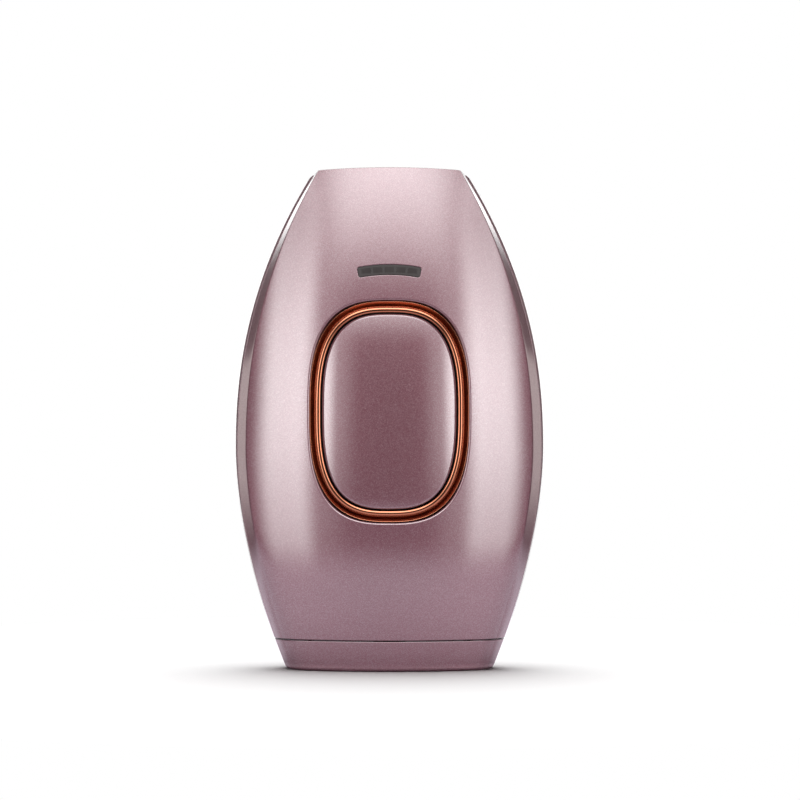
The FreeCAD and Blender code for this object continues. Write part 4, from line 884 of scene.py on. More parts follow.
def finish(slot):
    """The material of one slot, made the first time it is asked for."""
    if slot not in FINISHES:
        colours = bpy.context.scene.remover_finish
        makers = {
            "pearl_shell": lambda: pearl_paint(slot, colours.pearl, colours.flake_glint),
            "pearl_button": lambda: pearl_paint(slot, colours.key, colours.flake_glint),
            "copper_chrome": lambda: plated(slot, colours.ring),
            "smoked_lens": lambda: smoked(slot, (0.035, 0.030, 0.029)),
            "black_plastic": lambda: moulded(slot, (0.018, 0.018, 0.019)),
            "dark_grey_plastic": lambda: moulded(slot, (0.055, 0.052, 0.055), 1500.0, 0.42),
            "white_plastic": lambda: moulded(slot, (0.78, 0.77, 0.73)),
            "silicone": lambda: rubber(slot, (0.55, 0.56, 0.56)),
            "circuit_board": lambda: board_laminate(slot, (0.012, 0.10, 0.045)),
            "chip_black": lambda: moulded(slot, (0.014, 0.014, 0.015), 3000.0, 0.6),
            "led_body": lambda: smoked(slot, (0.75, 0.74, 0.62)),
            "steel": lambda: metal(slot, (0.62, 0.61, 0.59), (1.0, 1.0, 1.0), 0.24),
            "aluminium_can": lambda: metal(slot, (0.78, 0.78, 0.78), (0.05, 1.0, 1.0), 0.28),
            "aluminium_black": lambda: metal(slot, (0.03, 0.03, 0.032), (1.0, 1.0, 0.05), 0.4),
            "mirror_aluminium": lambda: metal(slot, (0.85, 0.85, 0.84), (0.1, 1.0, 1.0), 0.24),
            "ferrite": lambda: moulded(slot, (0.045, 0.043, 0.045), 1200.0, 0.62),
            "copper_winding": lambda: wound_wire(slot, (0.72, 0.30, 0.14)),
            "filter_glass": lambda: clear_part(slot, (0.55, 0.22, 0.08), 0.52),
            "quartz": lambda: clear_part(slot, (0.80, 0.84, 0.88), 0.30),
            "ceramic_white": lambda: moulded(slot, (0.84, 0.83, 0.80), 900.0, 0.35),
            "brass_contact": lambda: metal(slot, (0.70, 0.52, 0.27), (0.1, 1.0, 1.0), 0.36),
            "lead_red": lambda: lead_cover(slot, (0.45, 0.02, 0.015)),
            "lead_black": lambda: lead_cover(slot, (0.012, 0.012, 0.013)),
        }
        FINISHES[slot] = makers[slot]()
    return FINISHES[slot]


def dress(piece, slot, body, *nodes):
    """Give a finished piece its material, the body it rides on and the nodes it stands for."""
    piece.data.materials.clear()
    piece.data.materials.append(finish(slot))
    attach(piece, body)
    if nodes:
        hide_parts(*nodes)


# ---------------------------------------------------------------- repeated parts

HEAD_SIDES, THREAD_PITCH = 28, 0.0011


class Pattern:
    """A Geometry Nodes tree in the making, with named inputs."""
    def __init__(self, name, **inputs):
        self.tree = bpy.data.node_groups.new(name, "GeometryNodeTree")
        face = self.tree.interface
        face.new_socket("Geometry", in_out="INPUT", socket_type="NodeSocketGeometry")
        self.named = {}
        for key, value in inputs.items():
            kind = {int: "NodeSocketInt", float: "NodeSocketFloat"}.get(
                type(value), "NodeSocketVector")
            socket = face.new_socket(key.replace("_", " "), in_out="INPUT", socket_type=kind)
            socket.default_value = value
            self.named[key] = socket.identifier
        face.new_socket("Geometry", in_out="OUTPUT", socket_type="NodeSocketGeometry")
        self.entry = self.tree.nodes.new("NodeGroupInput")
        self.exit = self.tree.nodes.new("NodeGroupOutput")

    def given(self, key):
        """The socket of one named input."""
        return self.entry.outputs[key.replace("_", " ")]

    def node(self, kind, settings=None, inputs=None):
        """Any node: its settings are set first, then the values or links of its sockets."""
        node = self.tree.nodes.new(kind)
        for name, value in (settings or {}).items():
            setattr(node, name, value)
        for name, value in (inputs or {}).items():
            for part in value if isinstance(value, list) else [value]:
                if isinstance(part, bpy.types.NodeSocket):
                    self.tree.links.new(part, node.inputs[name])
                else:
                    node.inputs[name].default_value = part
        return node.outputs[0]

    def maths(self, operation, *values):
        return self.node("ShaderNodeMath", {"operation": operation}, dict(enumerate(values)))

    def times(self, *values):
        return self.maths("MULTIPLY", *values)

    def vector(self, x=0.0, y=0.0, z=0.0):
        return self.node("ShaderNodeCombineXYZ", None, {0: x, 1: y, 2: z})

    def move(self, geometry, offset, turn=(0.0, 0.0, 0.0)):
        return self.node("GeometryNodeTransform", None,
                         {"Geometry": geometry, "Translation": offset, "Rotation": turn})

    def rod(self, radius, length, sides, offset):
        mesh = self.node("GeometryNodeMeshCylinder", None,
                         {"Vertices": sides, "Radius": radius, "Depth": length})
        return self.move(mesh, offset)

    def join(self, *parts):
        return self.node("GeometryNodeJoinGeometry", None, {0: list(parts)})

    def copies(self, points, instance, turn=(0.0, 0.0, 0.0)):
        return self.node("GeometryNodeInstanceOnPoints", None,
                         {"Points": points, "Instance": instance, "Rotation": turn})

    def at_seeds(self, instance, turn=(0.0, 0.0, 0.0)):
        """One copy at each seed point."""
        seeds = self.node("GeometryNodeMeshToPoints", None, {"Mesh": self.given("Geometry")})
        return self.copies(seeds, instance, turn)

    def apply(self, geometry, material, seeds, name, **values):
        """Close the tree, run it on the seed points and return a plain mesh object."""
        real = self.node("GeometryNodeRealizeInstances", None, {0: geometry})
        shaded = self.node("GeometryNodeSetMaterial", None,
                           {"Geometry": real, "Material": material})
        self.tree.links.new(shaded, self.exit.inputs[0])
        mesh = bpy.data.meshes.new(name + "_seeds")
        mesh.from_pydata([tuple(seed) for seed in seeds], [], [])
        carrier = bpy.data.objects.new(name + "_carrier", mesh)
        bpy.context.scene.collection.objects.link(carrier)
        modifier = carrier.modifiers.new("pattern", "NODES")
        modifier.node_group = self.tree
        for key, value in values.items():
            modifier[self.named[key]] = value
        depsgraph = bpy.context.evaluated_depsgraph_get()
        plain = bpy.data.meshes.new_from_object(carrier.evaluated_get(depsgraph))
        plain.name = name
        bpy.data.objects.remove(carrier)
        piece = bpy.data.objects.new(name, plain)
        bpy.context.scene.collection.objects.link(piece)
        return piece


def screw_pattern():
    """Pan-head screws with a cross recess, one at each seed point, heads towards -Z."""
    made = Pattern("screws", Head_Radius=0.0023, Head_Depth=0.0015, Shank_Radius=0.0012,
                   Shank_Length=0.0125, Turn=(0.0, 0.0, 0.0))
    radius, depth = made.given("Head_Radius"), made.given("Head_Depth")
    reach, shank = made.given("Shank_Length"), made.given("Shank_Radius")
    half, slant = made.times(depth, 0.55), made.times(depth, 0.5)
    flat = made.rod(radius, half, HEAD_SIDES,
                    made.vector(z=made.maths("SUBTRACT", depth, made.times(half, 0.5))))
    cone = made.node("GeometryNodeMeshCone", None, {
        "Vertices": HEAD_SIDES, "Radius Top": made.times(radius, 0.72),
        "Radius Bottom": made.times(radius, 0.985), "Depth": slant})
    dome = made.move(cone, made.vector(z=slant), (math.pi, 0.0, 0.0))
    wide, slim, deep = made.times(radius, 1.05), made.times(radius, 0.24), made.times(depth, 1.1)
    bars = [made.node("GeometryNodeMeshCube", None, {"Size": made.vector(*size, deep)})
            for size in ((wide, slim), (slim, wide))]
    blank = made.node("GeometryNodeMeshBoolean", {"operation": "UNION", "solver": "EXACT"},
                      {1: [flat, dome]})
    head = made.node("GeometryNodeMeshBoolean", {"operation": "DIFFERENCE", "solver": "EXACT"},
                     {0: blank, 1: bars})
    core = made.rod(made.times(shank, 0.82), reach, 16,
                    made.vector(z=made.maths("ADD", depth, made.times(reach, 0.5))))
    turns = made.node("GeometryNodeCurveSpiral", None, {
        "Resolution": 14, "Rotations": made.maths("DIVIDE", reach, THREAD_PITCH),
        "Start Radius": shank, "End Radius": shank, "Height": made.times(reach, 0.9)})
    round_wire = made.node("GeometryNodeCurvePrimitiveCircle", {"mode": "RADIUS"},
                           {"Resolution": 5, "Radius": made.times(shank, 0.16)})
    ridge = made.node("GeometryNodeCurveToMesh", None,
                      {"Curve": turns, "Profile Curve": round_wire, "Fill Caps": True})
    ridge = made.move(ridge, made.vector(z=made.times(depth, 1.05)))
    return made, made.at_seeds(made.join(head, core, ridge), made.given("Turn"))


def level_pattern():
    """Small bars in a bowed row, each on the crown of the cover."""
    made = Pattern("level_row", Count=LEVELS, Pitch=LEVEL_PITCH, Bow=LENS_BOW, Crown_Radius=0.084,
                   Bar=(0.0026, 0.0003, 0.0016))
    count, pitch, bow = made.given("Count"), made.given("Pitch"), made.given("Bow")
    index, curve = made.node("GeometryNodeInputIndex"), made.given("Crown_Radius")
    middle = made.maths("DIVIDE", made.maths("SUBTRACT", count, 1.0), 2.0)
    angle = made.maths("DIVIDE", made.times(made.maths("SUBTRACT", index, middle), pitch), bow)
    across = made.times(made.maths("SINE", angle), bow)
    down = made.times(made.maths("SUBTRACT", made.maths("COSINE", angle), 1.0), bow)
    back = made.maths("DIVIDE", made.times(across, across), made.times(curve, 2.0))
    line = made.node("GeometryNodeMeshLine", None, {"Count": count, "Offset": (0.0, 0.0, 0.0)})
    row = made.node("GeometryNodeSetPosition", None,
                    {"Geometry": line, "Position": made.vector(across, back, down)})
    bar = made.node("GeometryNodeMeshCube", None, {"Size": made.given("Bar"), "Vertices X": 2})
    turn = made.vector(y=angle, z=made.maths("DIVIDE", across, curve))
    return made, made.at_seeds(made.copies(row, bar, turn))


# ---------------------------------------------------------------- operators

class REMOVER_OT_front_cover(bpy.types.Operator):
    """Front cover with the ring's opening and the level window's slot"""
    bl_idname = "remover.front_cover"
    bl_label = "Front cover"

    def execute(self, context):
        sizes, skin = context.scene.remover_cover, FrontSkin()
        end = skin.reach * (1 - (1 - skin.crease) * (PARTING + sizes.rim) / FACET_WIDTH)
        outer = cover_outline(skin, SEAM_TOP + sizes.rim, sizes.corner, sizes.rim, end)
        grow = RING_SLACK + sizes.lip
        ring = superellipse(RING_HALF[0] + grow, RING_HALF[1] + grow, KEY_CENTRE, 260)
        holes = [on_skin(skin, loop) for loop in (ring, bowed_slot(0.00005 + sizes.rim))]
        rows = []
        for offset in CREASE_ROWS:
            u = skin.reach * skin.crease + offset
            top = float(head_edge(skin, np.array([u]), sizes.corner)[0]) - sizes.rim
            v = np.linspace(SEAM_TOP + sizes.rim, top, 112)[1:-1]
            rows += [np.stack([np.full_like(v, side * u), v], axis=1) for side in (-1, 1)]
        maker = Maker()
        solid_skin(maker, skin, outer, holes, rows, sizes.spacing, sizes.wall,
                   [sizes.rim, sizes.lip, sizes.rim])
        dress(maker.build("front_cover"), "pearl_shell", "handset", "front_shell")
        return {"FINISHED"}


class REMOVER_OT_rear_cover(bpy.types.Operator):
    """Back cover with the air slots, the trigger's opening and four screw wells"""
    bl_idname = "remover.rear_cover"
    bl_label = "Back cover"

    def execute(self, context):
        sizes, skin = context.scene.remover_cover, RearSkin()
        end = skin.reach * (1 - (1 - skin.side) * (PARTING + sizes.rim) / REAR_FLANK)
        outer = cover_outline(skin, SEAM_TOP + sizes.rim, sizes.corner, sizes.rim, end)
        loops = [superellipse(TRIGGER_HALF[0] + TRIGGER_SLACK + sizes.rim,
                              TRIGGER_HALF[1] + TRIGGER_SLACK + sizes.rim, TRIGGER_CENTRE, 120)]
        rows = int(VENT_RADIUS / VENT_PITCH)
        for row in range(-rows, rows + 1):
            half = math.sqrt(VENT_RADIUS ** 2 - (row * VENT_PITCH) ** 2)
            slot = round_box(half + sizes.rim, VENT_HALF + sizes.rim,
                             (0, FAN_HEIGHT + row * VENT_PITCH), VENT_HALF + sizes.rim - 0.00005, 7)
            loops.append(refine(slot, 0.0012))
        loops += [disc(x, z, PLUG_WELL + sizes.rim, 44) for x, z in PLUG_SPOTS]
        holes, maker = [on_skin(skin, loop) for loop in loops], Maker()
        solid_skin(maker, skin, outer, holes, [], sizes.spacing * 0.9, sizes.wall, sizes.rim)
        dress(maker.build("back_cover"), "pearl_shell", "handset", "rear_shell")
        return {"FINISHED"}


def body_loop(z, count, inset=0.0):
    """The whole outline at one height, counter-clockwise from above, with its outward normals."""
    front, rear = FrontSkin(), RearSkin()
    ahead = np.linspace(-front.reach, front.reach, count)
    behind = np.linspace(rear.reach, -rear.reach, count)[1:-1]
    points, out = [], []
    for skin, u in ((front, ahead), (rear, behind)):
        level = np.full_like(u, z)
        points.append(skin.point(u, level))
        out.append(normals(skin, u, level))
    points, out = np.vstack(points), np.vstack(out)
    flat = out * (1, 1, 0)
    flat /= np.linalg.norm(flat, axis=1, keepdims=True)
    return points - flat * inset, out, flat


class REMOVER_OT_base_cap(bpy.types.Operator):
    """Base cap: a rounded foot, exhaust slots, two screw wells and the power inlet's hole"""
    bl_idname = "remover.base_cap"
    bl_label = "Base cap"

    def execute(self, context):
        sizes, maker, count = context.scene.remover_cover, Maker(), 150
        rim, foot, up = sizes.rim, sizes.foot, np.array([0, 0, 1])
        rows = []
        for angle in np.linspace(0, math.pi / 2, 5):
            z = SEAM_BOTTOM - rim * (1 - math.cos(angle))
            points, out, flat = body_loop(z, count, rim * (1 - math.sin(angle)))
            tilt = up * math.cos(angle) + flat * math.sin(angle)
            rows.append(maker.add(points, tilt if angle < 1.5 else out))
        for z in np.linspace(SEAM_BOTTOM - rim, foot, 7)[1:-1]:
            points, out, flat = body_loop(z, count)
            rows.append(maker.add(points, out))
        for angle in np.linspace(0, math.pi / 2, 7):
            points, out, flat = body_loop(foot * (1 - math.sin(angle)), count,
                                          foot * (1 - math.cos(angle)))
            rows.append(maker.add(points, flat * math.cos(angle) - up * math.sin(angle)))
        inner = [body_loop(z, count, sizes.wall)[0] for z in (SEAM_BOTTOM, CAP_FLOOR)]
        inner = [maker.add(points, np.zeros_like(points)) for points in inner]
        for lower, upper in zip(rows[1:], rows):
            maker.strip(lower, upper)
        maker.strip(rows[0], inner[0])
        maker.strip(inner[0], inner[1])
        holes = [refine(round_box(*EXHAUST_HALF, (side * x, 0), EXHAUST_CORNER, 6), 0.0015)
                 for side in (-1, 1) for x in EXHAUST_X]
        holes += [disc(*spot, WELL_RADIUS, 40) for spot in CAP_SPOTS]
        holes.append(disc(0, 0, INLET_HOLE, 56))
        lower_holes = self.floor(maker, rows[-1], holes, 0.0, -1)
        upper_holes = self.floor(maker, inner[1], holes, CAP_FLOOR, 1)
        for low, high in zip(lower_holes, upper_holes):
            maker.strip(high, low)
        for spot in CAP_SPOTS:
            tube = disc(*spot, WELL_TUBE, 40)
            wall_ring(maker, [(tube, CAP_FLOOR - OVERLAP), (tube, WELL_SHELF)],
                      disc(*spot, WELL_RADIUS, 40))
            wall_ring(maker, [(tube, WELL_SHELF - OVERLAP), (tube, SEAM_BOTTOM)],
                      disc(*spot, WELL_BORE, 40))
        collar = round_box(*COLLAR_OUTER, (0, 0), 0.0012)
        wall_ring(maker, [(collar, CAP_FLOOR - OVERLAP), (collar, COLLAR_TOP)],
                  round_box(*COLLAR_INNER, (0, 0), 0.0004))
        dress(maker.build("foot_cap"), "pearl_shell", "handset", "base_cap")
        return {"FINISHED"}

    def floor(self, maker, border, holes, height, facing):
        """Fill the border's loop at one height, leaving the holes open; gives the holes' rows."""
        points = np.array([maker.points[i] for i in border])
        flat = np.vstack([points[:, :2]] + holes)
        starts = np.cumsum([0, len(points)] + [len(hole) for hole in holes])
        edges = [(int(a + i), int(a + (i + 1) % (b - a))) for a, b in zip(starts, starts[1:])
                 for i in range(b - a)]
        verts, faces, keep, new_of = triangulate(flat, edges, points[:, :2], holes)
        place = maker.add(np.column_stack([verts, np.full(len(verts), height)]),
                          np.tile([(0, 0, facing)], (len(verts), 1)))
        for i, index in enumerate(border):
            place[new_of[i]] = index
        for face, kept in zip(faces, keep):
            if kept:
                order = face if facing < 0 else face[::-1]
                maker.faces.append(tuple(int(place[i]) for i in order))
        return [place[[new_of[int(a + i)] for i in range(b - a)]]
                for a, b in zip(starts[1:], starts[2:])]


class REMOVER_OT_button_ring(bpy.types.Operator):
    """Plated ring: a bright bead around the key and a dished flank up to the cover"""
    bl_idname = "remover.button_ring"
    bl_label = "Button ring"

    def execute(self, context):
        bead = context.scene.remover_keys.bead
        inner = (KEY_HALF[0] + 0.0004, KEY_HALF[1] + 0.0004)
        width = RING_HALF[0] - inner[0]
        profile = [(0.0, RING_FOOT), (0.0, 2 * BEAD_BASE), (0.0, BEAD_BASE)]
        for angle in np.linspace(math.pi * 0.92, math.pi * 0.08, 12):
            profile.append((bead / 2 + bead / 2 * math.cos(angle),
                            BEAD_BASE + BEAD_RISE * math.sin(angle)))
        profile += [(bead + 0.00002, -0.0009), (bead + 0.00004, -0.0013),
                    (bead + 0.00008, GROOVE + 0.0001), (bead + 0.00014, GROOVE),
                    (bead + 0.00022, GROOVE + 0.00004)]
        start, flank = bead + 0.00022, width - 0.00006 - bead - 0.00022
        profile += [(start + flank * share, GROOVE + 0.00004 + (BRIM - GROOVE) * share ** 0.92)
                    for share in (0.08, 0.2, 0.35, 0.5, 0.65, 0.8, 0.92, 1.0)]
        profile += [(width, BRIM - 0.00008), (width, BRIM - 0.0002), (width, -0.0014),
                    (width, RING_FOOT), (width * 0.5, RING_FOOT)]
        maker = Maker()
        sweep(maker, inner, KEY_CENTRE, profile, crown)
        dress(maker.build("trim_ring"), "copper_chrome", "handset", "button_ring")
        return {"FINISHED"}


class REMOVER_OT_power_key(bpy.types.Operator):
    """Front key: a pillow that follows the crown of the cover, with a rounded edge"""
    bl_idname = "remover.power_key"
    bl_label = "Front key"

    def execute(self, context):
        sizes, maker = context.scene.remover_keys, Maker()
        pebble(maker, crown, KEY_HALF, KEY_CENTRE, sizes.pillow, sizes.edge, KEY_FOOT, -1)
        stem = disc(0, KEY_CENTRE, STEM_RADIUS, 36)
        rows = [maker.add(np.column_stack([stem[:, 0], np.full(36, y), stem[:, 1]]),
                          np.zeros((36, 3))) for y in (STEM_TOP_Y, KEY_BOX[1].y - 0.00005)]
        maker.strip(*rows)
        for row, order in zip(rows, (1, -1)):
            maker.faces.append(tuple(int(i) for i in row[::order]))
        dress(maker.build("power_key"), "pearl_button", "front_key", "front_button")
        return {"FINISHED"}


class REMOVER_OT_trigger_key(bpy.types.Operator):
    """Back key that releases a flash"""
    bl_idname = "remover.trigger_key"
    bl_label = "Back key"

    def execute(self, context):
        sizes, maker = context.scene.remover_keys, Maker()
        pebble(maker, RearSkin().depth, TRIGGER_HALF, TRIGGER_CENTRE, sizes.trigger_pillow,
               TRIGGER_EDGE, TRIGGER_FOOT, 1, count=110, rings=16)
        dress(maker.build("flash_key"), "pearl_button", "rear_key", "rear_button")
        return {"FINISHED"}


class REMOVER_OT_screw_plugs(bpy.types.Operator):
    """Four plugs over the case screws, flush with the back"""
    bl_idname = "remover.screw_plugs"
    bl_label = "Screw plugs"

    def execute(self, context):
        maker, depth = Maker(), RearSkin().depth
        for x, z in PLUG_SPOTS:
            first = len(maker.points)
            pebble(maker, lambda a, b, x=x: depth(a + x, b), (PLUG_RADIUS, PLUG_RADIUS), z,
                   -PLUG_SINK, PLUG_EDGE, PLUG_FOOT, 1, power=2.0, count=40, rings=5)
            maker.points[first:] = [(p[0] + x, p[1], p[2]) for p in maker.points[first:]]
        dress(maker.build("plugs"), "pearl_shell", "handset", "screw_plugs")
        return {"FINISHED"}


class REMOVER_OT_level_window(bpy.types.Operator):
    """Bowed level window with five small bars"""
    bl_idname = "remover.level_window"
    bl_label = "Level window"

    def execute(self, context):
        skin, maker = FrontSkin(), Maker()
        skin.sink = LENS_SINK
        outer = on_skin(skin, bowed_slot(-LENS_GAP))
        solid_skin(maker, skin, outer, [], [], 0.0007, LENS_THICKNESS, LENS_RIM)
        dress(maker.build("level_lens"), "smoked_lens", "handset", "indicator_window")
        made, bars = level_pattern()
        front = LEVEL_SINK - float(crown(np.zeros(1), np.full(1, LENS_HEIGHT))[0])
        piece = made.apply(bars, finish("smoked_lens"), [(0, front, LENS_HEIGHT)], "level_bars",
                           Count=LEVELS, Pitch=LEVEL_PITCH, Bow=LENS_BOW)
        dress(piece, "smoked_lens", "handset")
        return {"FINISHED"}


class REMOVER_OT_treatment_head(bpy.types.Operator):
    """Bezel that closes the top, with its window and two contact slots"""
    bl_idname = "remover.treatment_head"
    bl_label = "Treatment head"

    def execute(self, context):
        maker = Maker()
        bottom, top = (corner.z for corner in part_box("head_frame"))
        gap = context.scene.remover_cover.wall + HEAD_GAP
        opening = refine(self.window(WINDOW_SLACK, 0.0008, 6), 0.001)
        slots = [refine(round_box(*CONTACT_HALF, (0, y), 0.0003, 4), 0.001)
                 for y in (WINDOW_Y - CONTACT_Y, WINDOW_Y + CONTACT_Y)]
        plate = self.outline(top, gap + HEAD_RIM, 220)
        solid_skin(maker, Plate(top, 1), plate, [opening] + slots, [], 0.0016, HEAD_PLATE, HEAD_RIM)
        seat = even(self.window(SEAT_WIDTH, 0.0004, 8), 240)
        skirt = [(self.outline(z, gap, 240), z)
                 for z in np.linspace(bottom, top - HEAD_PLATE + 0.00005, 6)]
        wall_ring(maker, skirt, seat)
        dress(maker.build("head_bezel"), "dark_grey_plastic", "handset", "head_frame")
        return {"FINISHED"}

    def window(self, grow, corner, steps):
        """The light window's outline, grown by a margin."""
        return round_box(WINDOW_HALF[0] + grow, WINDOW_HALF[1] + grow, (0, WINDOW_Y), corner, steps)

    def outline(self, z, inset, count):
        """The covers' outline at one height, drawn in by inset."""
        edge, _, flat = body_loop(z, 240)
        points = (edge - flat * inset)[:, :2]
        # where the outline turns sharply the inset line crosses itself: those points are dropped
        gaps = np.min(np.linalg.norm(points[:, None] - edge[None, :, :2], axis=2), axis=1)
        return even(points[gaps > inset * 0.985], count)


class REMOVER_OT_fasteners(bpy.types.Operator):
    """Every screw, from one pattern of a cross-recessed pan head"""
    bl_idname = "remover.fasteners"
    bl_label = "Screws"

    def execute(self, context):
        board, trigger, fan = (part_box(node) for node in (
            "board_screws", "trigger_board_screws", "fan_screws"))
        ahead, behind = (math.pi / 2, 0, 0), (-math.pi / 2, 0, 0)
        self.row("case", "case_screws", [(x, CASE_SEAT_Y, z) for x, z in PLUG_SPOTS], LARGE_SCREW,
                 CASE_REACH, ahead)
        self.row("cap", "cap_screws", [(*spot, CAP_SEAT_Z) for spot in CAP_SPOTS], LARGE_SCREW,
                 CAP_REACH, (0, 0, 0))
        self.row("board", "board_screws", self.corners(board, board[1].y), SMALL_SCREW,
                 BOARD_REACH, ahead)
        self.row("trigger", "trigger_board_screws", self.corners(trigger, trigger[0].y),
                 SMALL_SCREW, TRIGGER_REACH, behind)
        self.row("fan", "fan_screws", self.corners(fan, fan[0].y), SMALL_SCREW, FAN_REACH, behind)
        return {"FINISHED"}

    def corners(self, box, y):
        """Seats of four small screws, from the box around them."""
        low, high = box
        return [(x, y, z) for x in (low.x + SMALL_SCREW[0], high.x - SMALL_SCREW[0])
                for z in (low.z + SMALL_SCREW[0], high.z - SMALL_SCREW[0])]

    def row(self, name, node, seats, screw, length, turn):
        """One set of like screws, which stands for its node."""
        made, screws = screw_pattern()
        piece = made.apply(screws, finish("steel"), seats, name + "_screw_set",
                           Head_Radius=screw[0], Head_Depth=screw[1], Shank_Radius=screw[2],
                           Shank_Length=length, Turn=turn)
        dress(piece, "steel", "handset", node)


class REMOVER_OT_inner_finishes(bpy.types.Operator):
    """Give every carried-over part the finish of its slot"""
    bl_idname = "remover.inner_finishes"
    bl_label = "Inner finishes"

    def execute(self, context):
        for part in frame["record"]["subparts"]:
            item = frame["nodes"][part["node"]]
            item.data.materials.clear()
            item.data.materials.append(finish(part["material_slot"]))
        return {"FINISHED"}


FLOOR_RADIUS, FLOOR_FADE, AIM_HEIGHT, SUN_POWER = 0.21, 0.13, 0.075, 3.62
EDGE_COLOUR = (1.0, 0.88, 0.86)


class REMOVER_OT_stage(bpy.types.Operator):
    """Pale floor, soft lights and the camera"""
    bl_idname = "remover.stage"
    bl_label = "Stage"

    def execute(self, context):
        scene, sizes = context.scene, context.scene.remover_stage
        scene.view_settings.view_transform = "Standard"
        camera = bpy.data.objects.new("camera", bpy.data.cameras.new("camera"))
        camera.data.lens, camera.data.sensor_width = sizes.focal, 36.0
        camera.data.clip_start, camera.data.clip_end = 0.01, 10.0
        camera.location = (sizes.eye[0], -sizes.distance, sizes.eye[1])
        camera.rotation_euler = (math.pi / 2, 0, 0)
        scene.collection.objects.link(camera)
        scene.camera = camera
        lamps = []
        for side, mark in ((-1, "_l"), (1, "_r")):
            fill = sizes.fill_power * (1.2 if side > 0 else 1.0)
            lamps += [
                ("side_light" + mark, sizes.key_power, (0.5, 1.2), 44.5 * side, 4.5, 0.9, (0.35, 0)),
                ("fill_light" + mark, fill, (0.5, 1.2), 30 * side, 6, 0.9, (0, 0)),
                ("edge_light" + mark, sizes.edge_power, (0.16, 0.8), 126 * side, 10, 0.9,
                 (0.8, 0.6), EDGE_COLOUR),
                ("rear_light" + mark, sizes.rear_power, (0.5, 1.1), 160 * side, 8, 0.95, (0, 0))]
        lamps += [("top_light", sizes.top_power, (1.5, 1.18), 0, 46, 0.95, (0.3, 0.25)),
                  ("back_light", sizes.back_power, (1.2, 0.9), 180, 52, 1.1, (0.4, 0.3))]
        for lamp in lamps:
            self.light(*lamp)
        self.world(sizes.surroundings)
        floor = self.ground()
        self.sun(floor)
        for lamp in lamps:
            spared = bpy.data.collections.new("spared_by_" + lamp[0])
            spared.objects.link(floor)
            spared.collection_objects[0].light_linking.link_state = "EXCLUDE"
            scene.objects[lamp[0]].light_linking.receiver_collection = spared
        return {"FINISHED"}

    def light(self, name, power, size, azimuth, elevation, distance, full, colour=(1.0, 1.0, 1.0)):
        """A soft box; full gives the share of its half width and half height before it fades."""
        lamp = bpy.data.lights.new(name, "AREA")
        lamp.shape, lamp.size, lamp.size_y = "RECTANGLE", size[0], size[1]
        lamp.energy, lamp.color = power, colour
        item = bpy.data.objects.new(name, lamp)
        a, e = math.radians(azimuth), math.radians(elevation)
        back = Vector((math.sin(a) * math.cos(e), -math.cos(a) * math.cos(e), math.sin(e)))
        item.location = Vector((0, 0, AIM_HEIGHT)) + back * distance
        item.rotation_euler = back.to_track_quat("Z", "Y").to_euler()
        item.visible_camera = False
        bpy.context.scene.collection.objects.link(item)
        self.fade(lamp, full)

    def fade(self, lamp, full):
        """Let a soft box fade smoothly towards its edges."""
        lamp.use_nodes = True
        tree = lamp.node_tree

        def maths(operation, *values):
            node = tree.nodes.new("ShaderNodeMath")
            node.operation = operation
            for number, value in enumerate(values):
                if isinstance(value, bpy.types.NodeSocket):
                    tree.links.new(value, node.inputs[number])
                else:
                    node.inputs[number].default_value = value
            return node.outputs[0]

        spot = tree.nodes.new("ShaderNodeSeparateXYZ")
        across = tree.nodes.new("ShaderNodeNewGeometry").outputs["Parametric"]
        tree.links.new(across, spot.inputs[0])
        shares = []
        for axis, share in enumerate(full):
            soft = tree.nodes.new("ShaderNodeMapRange")
            soft.interpolation_type = "SMOOTHSTEP"
            soft.inputs["From Min"].default_value = 0.5
            soft.inputs["From Max"].default_value = 0.5 * share
            reach = maths("ABSOLUTE", maths("SUBTRACT", spot.outputs[axis], 0.5))
            tree.links.new(reach, soft.inputs["Value"])
            shares.append(soft.outputs[0])
        tree.links.new(maths("MULTIPLY", *shares), tree.nodes["Emission"].inputs["Strength"])

    def sun(self, floor):
        """Wide overhead light for the floor alone, which leaves a soft shadow around the foot."""
        lamp = bpy.data.lights.new("overhead", "SUN")
        lamp.energy, lamp.angle = SUN_POWER, math.radians(46)
        item = bpy.data.objects.new("overhead", lamp)
        item.rotation_euler = (math.radians(-11), 0, 0)
        item.visible_glossy = False
        bpy.context.scene.collection.objects.link(item)
        item.light_linking.receiver_collection = bpy.data.collections.new("floor_only")
        item.light_linking.receiver_collection.objects.link(floor)

    def world(self, level):
        """White behind the object, and dimmer around it for what the object reflects."""
        world = bpy.data.worlds.new("studio")
        world.use_nodes = True
        tree = world.node_tree
        out, around = tree.nodes["World Output"], tree.nodes["Background"]
        around.inputs["Color"].default_value = (1.0, 0.98, 0.98, 1.0)
        around.inputs["Strength"].default_value = level
        seen = tree.nodes.new("ShaderNodeBackground")
        seen.inputs["Color"].default_value = (1.0, 1.0, 1.0, 1.0)
        path, mix = tree.nodes.new("ShaderNodeLightPath"), tree.nodes.new("ShaderNodeMixShader")
        tree.links.new(path.outputs["Is Camera Ray"], mix.inputs[0])
        tree.links.new(around.outputs[0], mix.inputs[1])
        tree.links.new(seen.outputs[0], mix.inputs[2])
        tree.links.new(mix.outputs[0], out.inputs["Surface"])
        bpy.context.scene.world = world

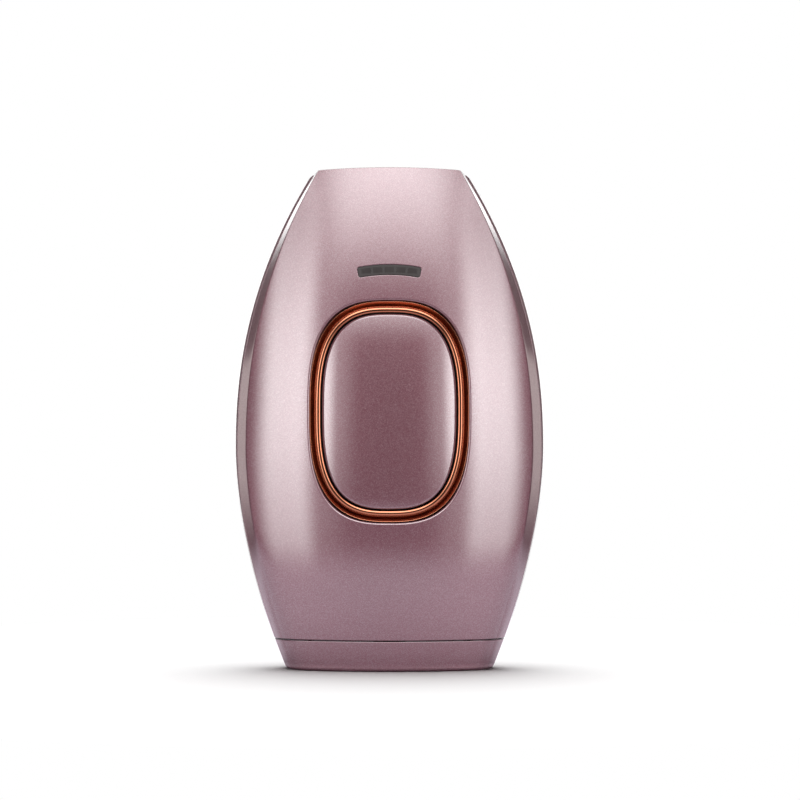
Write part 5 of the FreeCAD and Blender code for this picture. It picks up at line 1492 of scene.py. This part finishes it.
    def ground(self):
        """Disc of pale paper under the object."""
        mesh = bpy.data.meshes.new("floor")
        edge = disc(0, 0, FLOOR_RADIUS, 96)
        mesh.from_pydata([(x, y, 0.0) for x, y in edge], [], [tuple(range(96))])
        floor = bpy.data.objects.new("floor", mesh)
        bpy.context.scene.collection.objects.link(floor)
        made = Finish("floor_paper", Specular_IOR_Level=0.0)
        grain = made.noise(400.0, 3.0)
        direct = made.node("ShaderNodeLightPath", output="Is Camera Ray")
        paper = made.mix(grain, (0.875, 0.875, 0.875, 1.0), (0.885, 0.885, 0.885, 1.0))
        reach = made.node("ShaderNodeVectorMath", {"operation": "LENGTH"}, {0: made.place}, "Value")
        # painted reflection: to reflections and bounce light the floor shows this lilac colour in
        # place of its white paper
        reflected_floor_tint = (0.92, 0.84, 0.95, 1.0)
        # the floor thins out towards its edge in reflections, so that no edge shows in the paint
        seen = 1 - (1 - direct) * made.range(reach, FLOOR_FADE, FLOOR_RADIUS)
        mesh.materials.append(made.set(Base_Color=made.mix(direct, reflected_floor_tint, paper),
                                       Roughness=made.range(grain, 0.3, 0.7, 0.8, 0.9), Alpha=seen))
        return floor


class REMOVER_PT_panel(bpy.types.Panel):
    """Lists the pieces and their sizes"""
    bl_idname = "REMOVER_PT_panel"
    bl_label = "Hair remover"
    bl_space_type = "VIEW_3D"
    bl_region_type = "UI"
    bl_category = "Hair remover"

    def draw(self, context):
        for group in GROUPS:
            settings = getattr(context.scene, group)
            for name in settings.__annotations__:
                self.layout.prop(settings, name)
        for operator in OPERATORS:
            self.layout.operator(operator.bl_idname)


GROUPS = {"remover_cover": CoverSettings, "remover_keys": KeySettings,
          "remover_finish": FinishSettings, "remover_stage": StageSettings}
OPERATORS = (
    REMOVER_OT_inner_finishes, REMOVER_OT_front_cover, REMOVER_OT_rear_cover, REMOVER_OT_base_cap,
    REMOVER_OT_button_ring, REMOVER_OT_power_key, REMOVER_OT_trigger_key, REMOVER_OT_screw_plugs,
    REMOVER_OT_level_window, REMOVER_OT_treatment_head, REMOVER_OT_fasteners, REMOVER_OT_stage)


def register():
    for kind in (*GROUPS.values(), *OPERATORS, REMOVER_PT_panel):
        bpy.utils.register_class(kind)
    for name, kind in GROUPS.items():
        setattr(bpy.types.Scene, name, PointerProperty(type=kind))


def unregister():
    for name in GROUPS:
        delattr(bpy.types.Scene, name)
    for kind in reversed((*GROUPS.values(), *OPERATORS, REMOVER_PT_panel)):
        bpy.utils.unregister_class(kind)


def main():
    register()
    for operator in OPERATORS:
        group, name = operator.bl_idname.split(".")
        getattr(getattr(bpy.ops, group), name)()


if __name__ == "__main__":
    main()
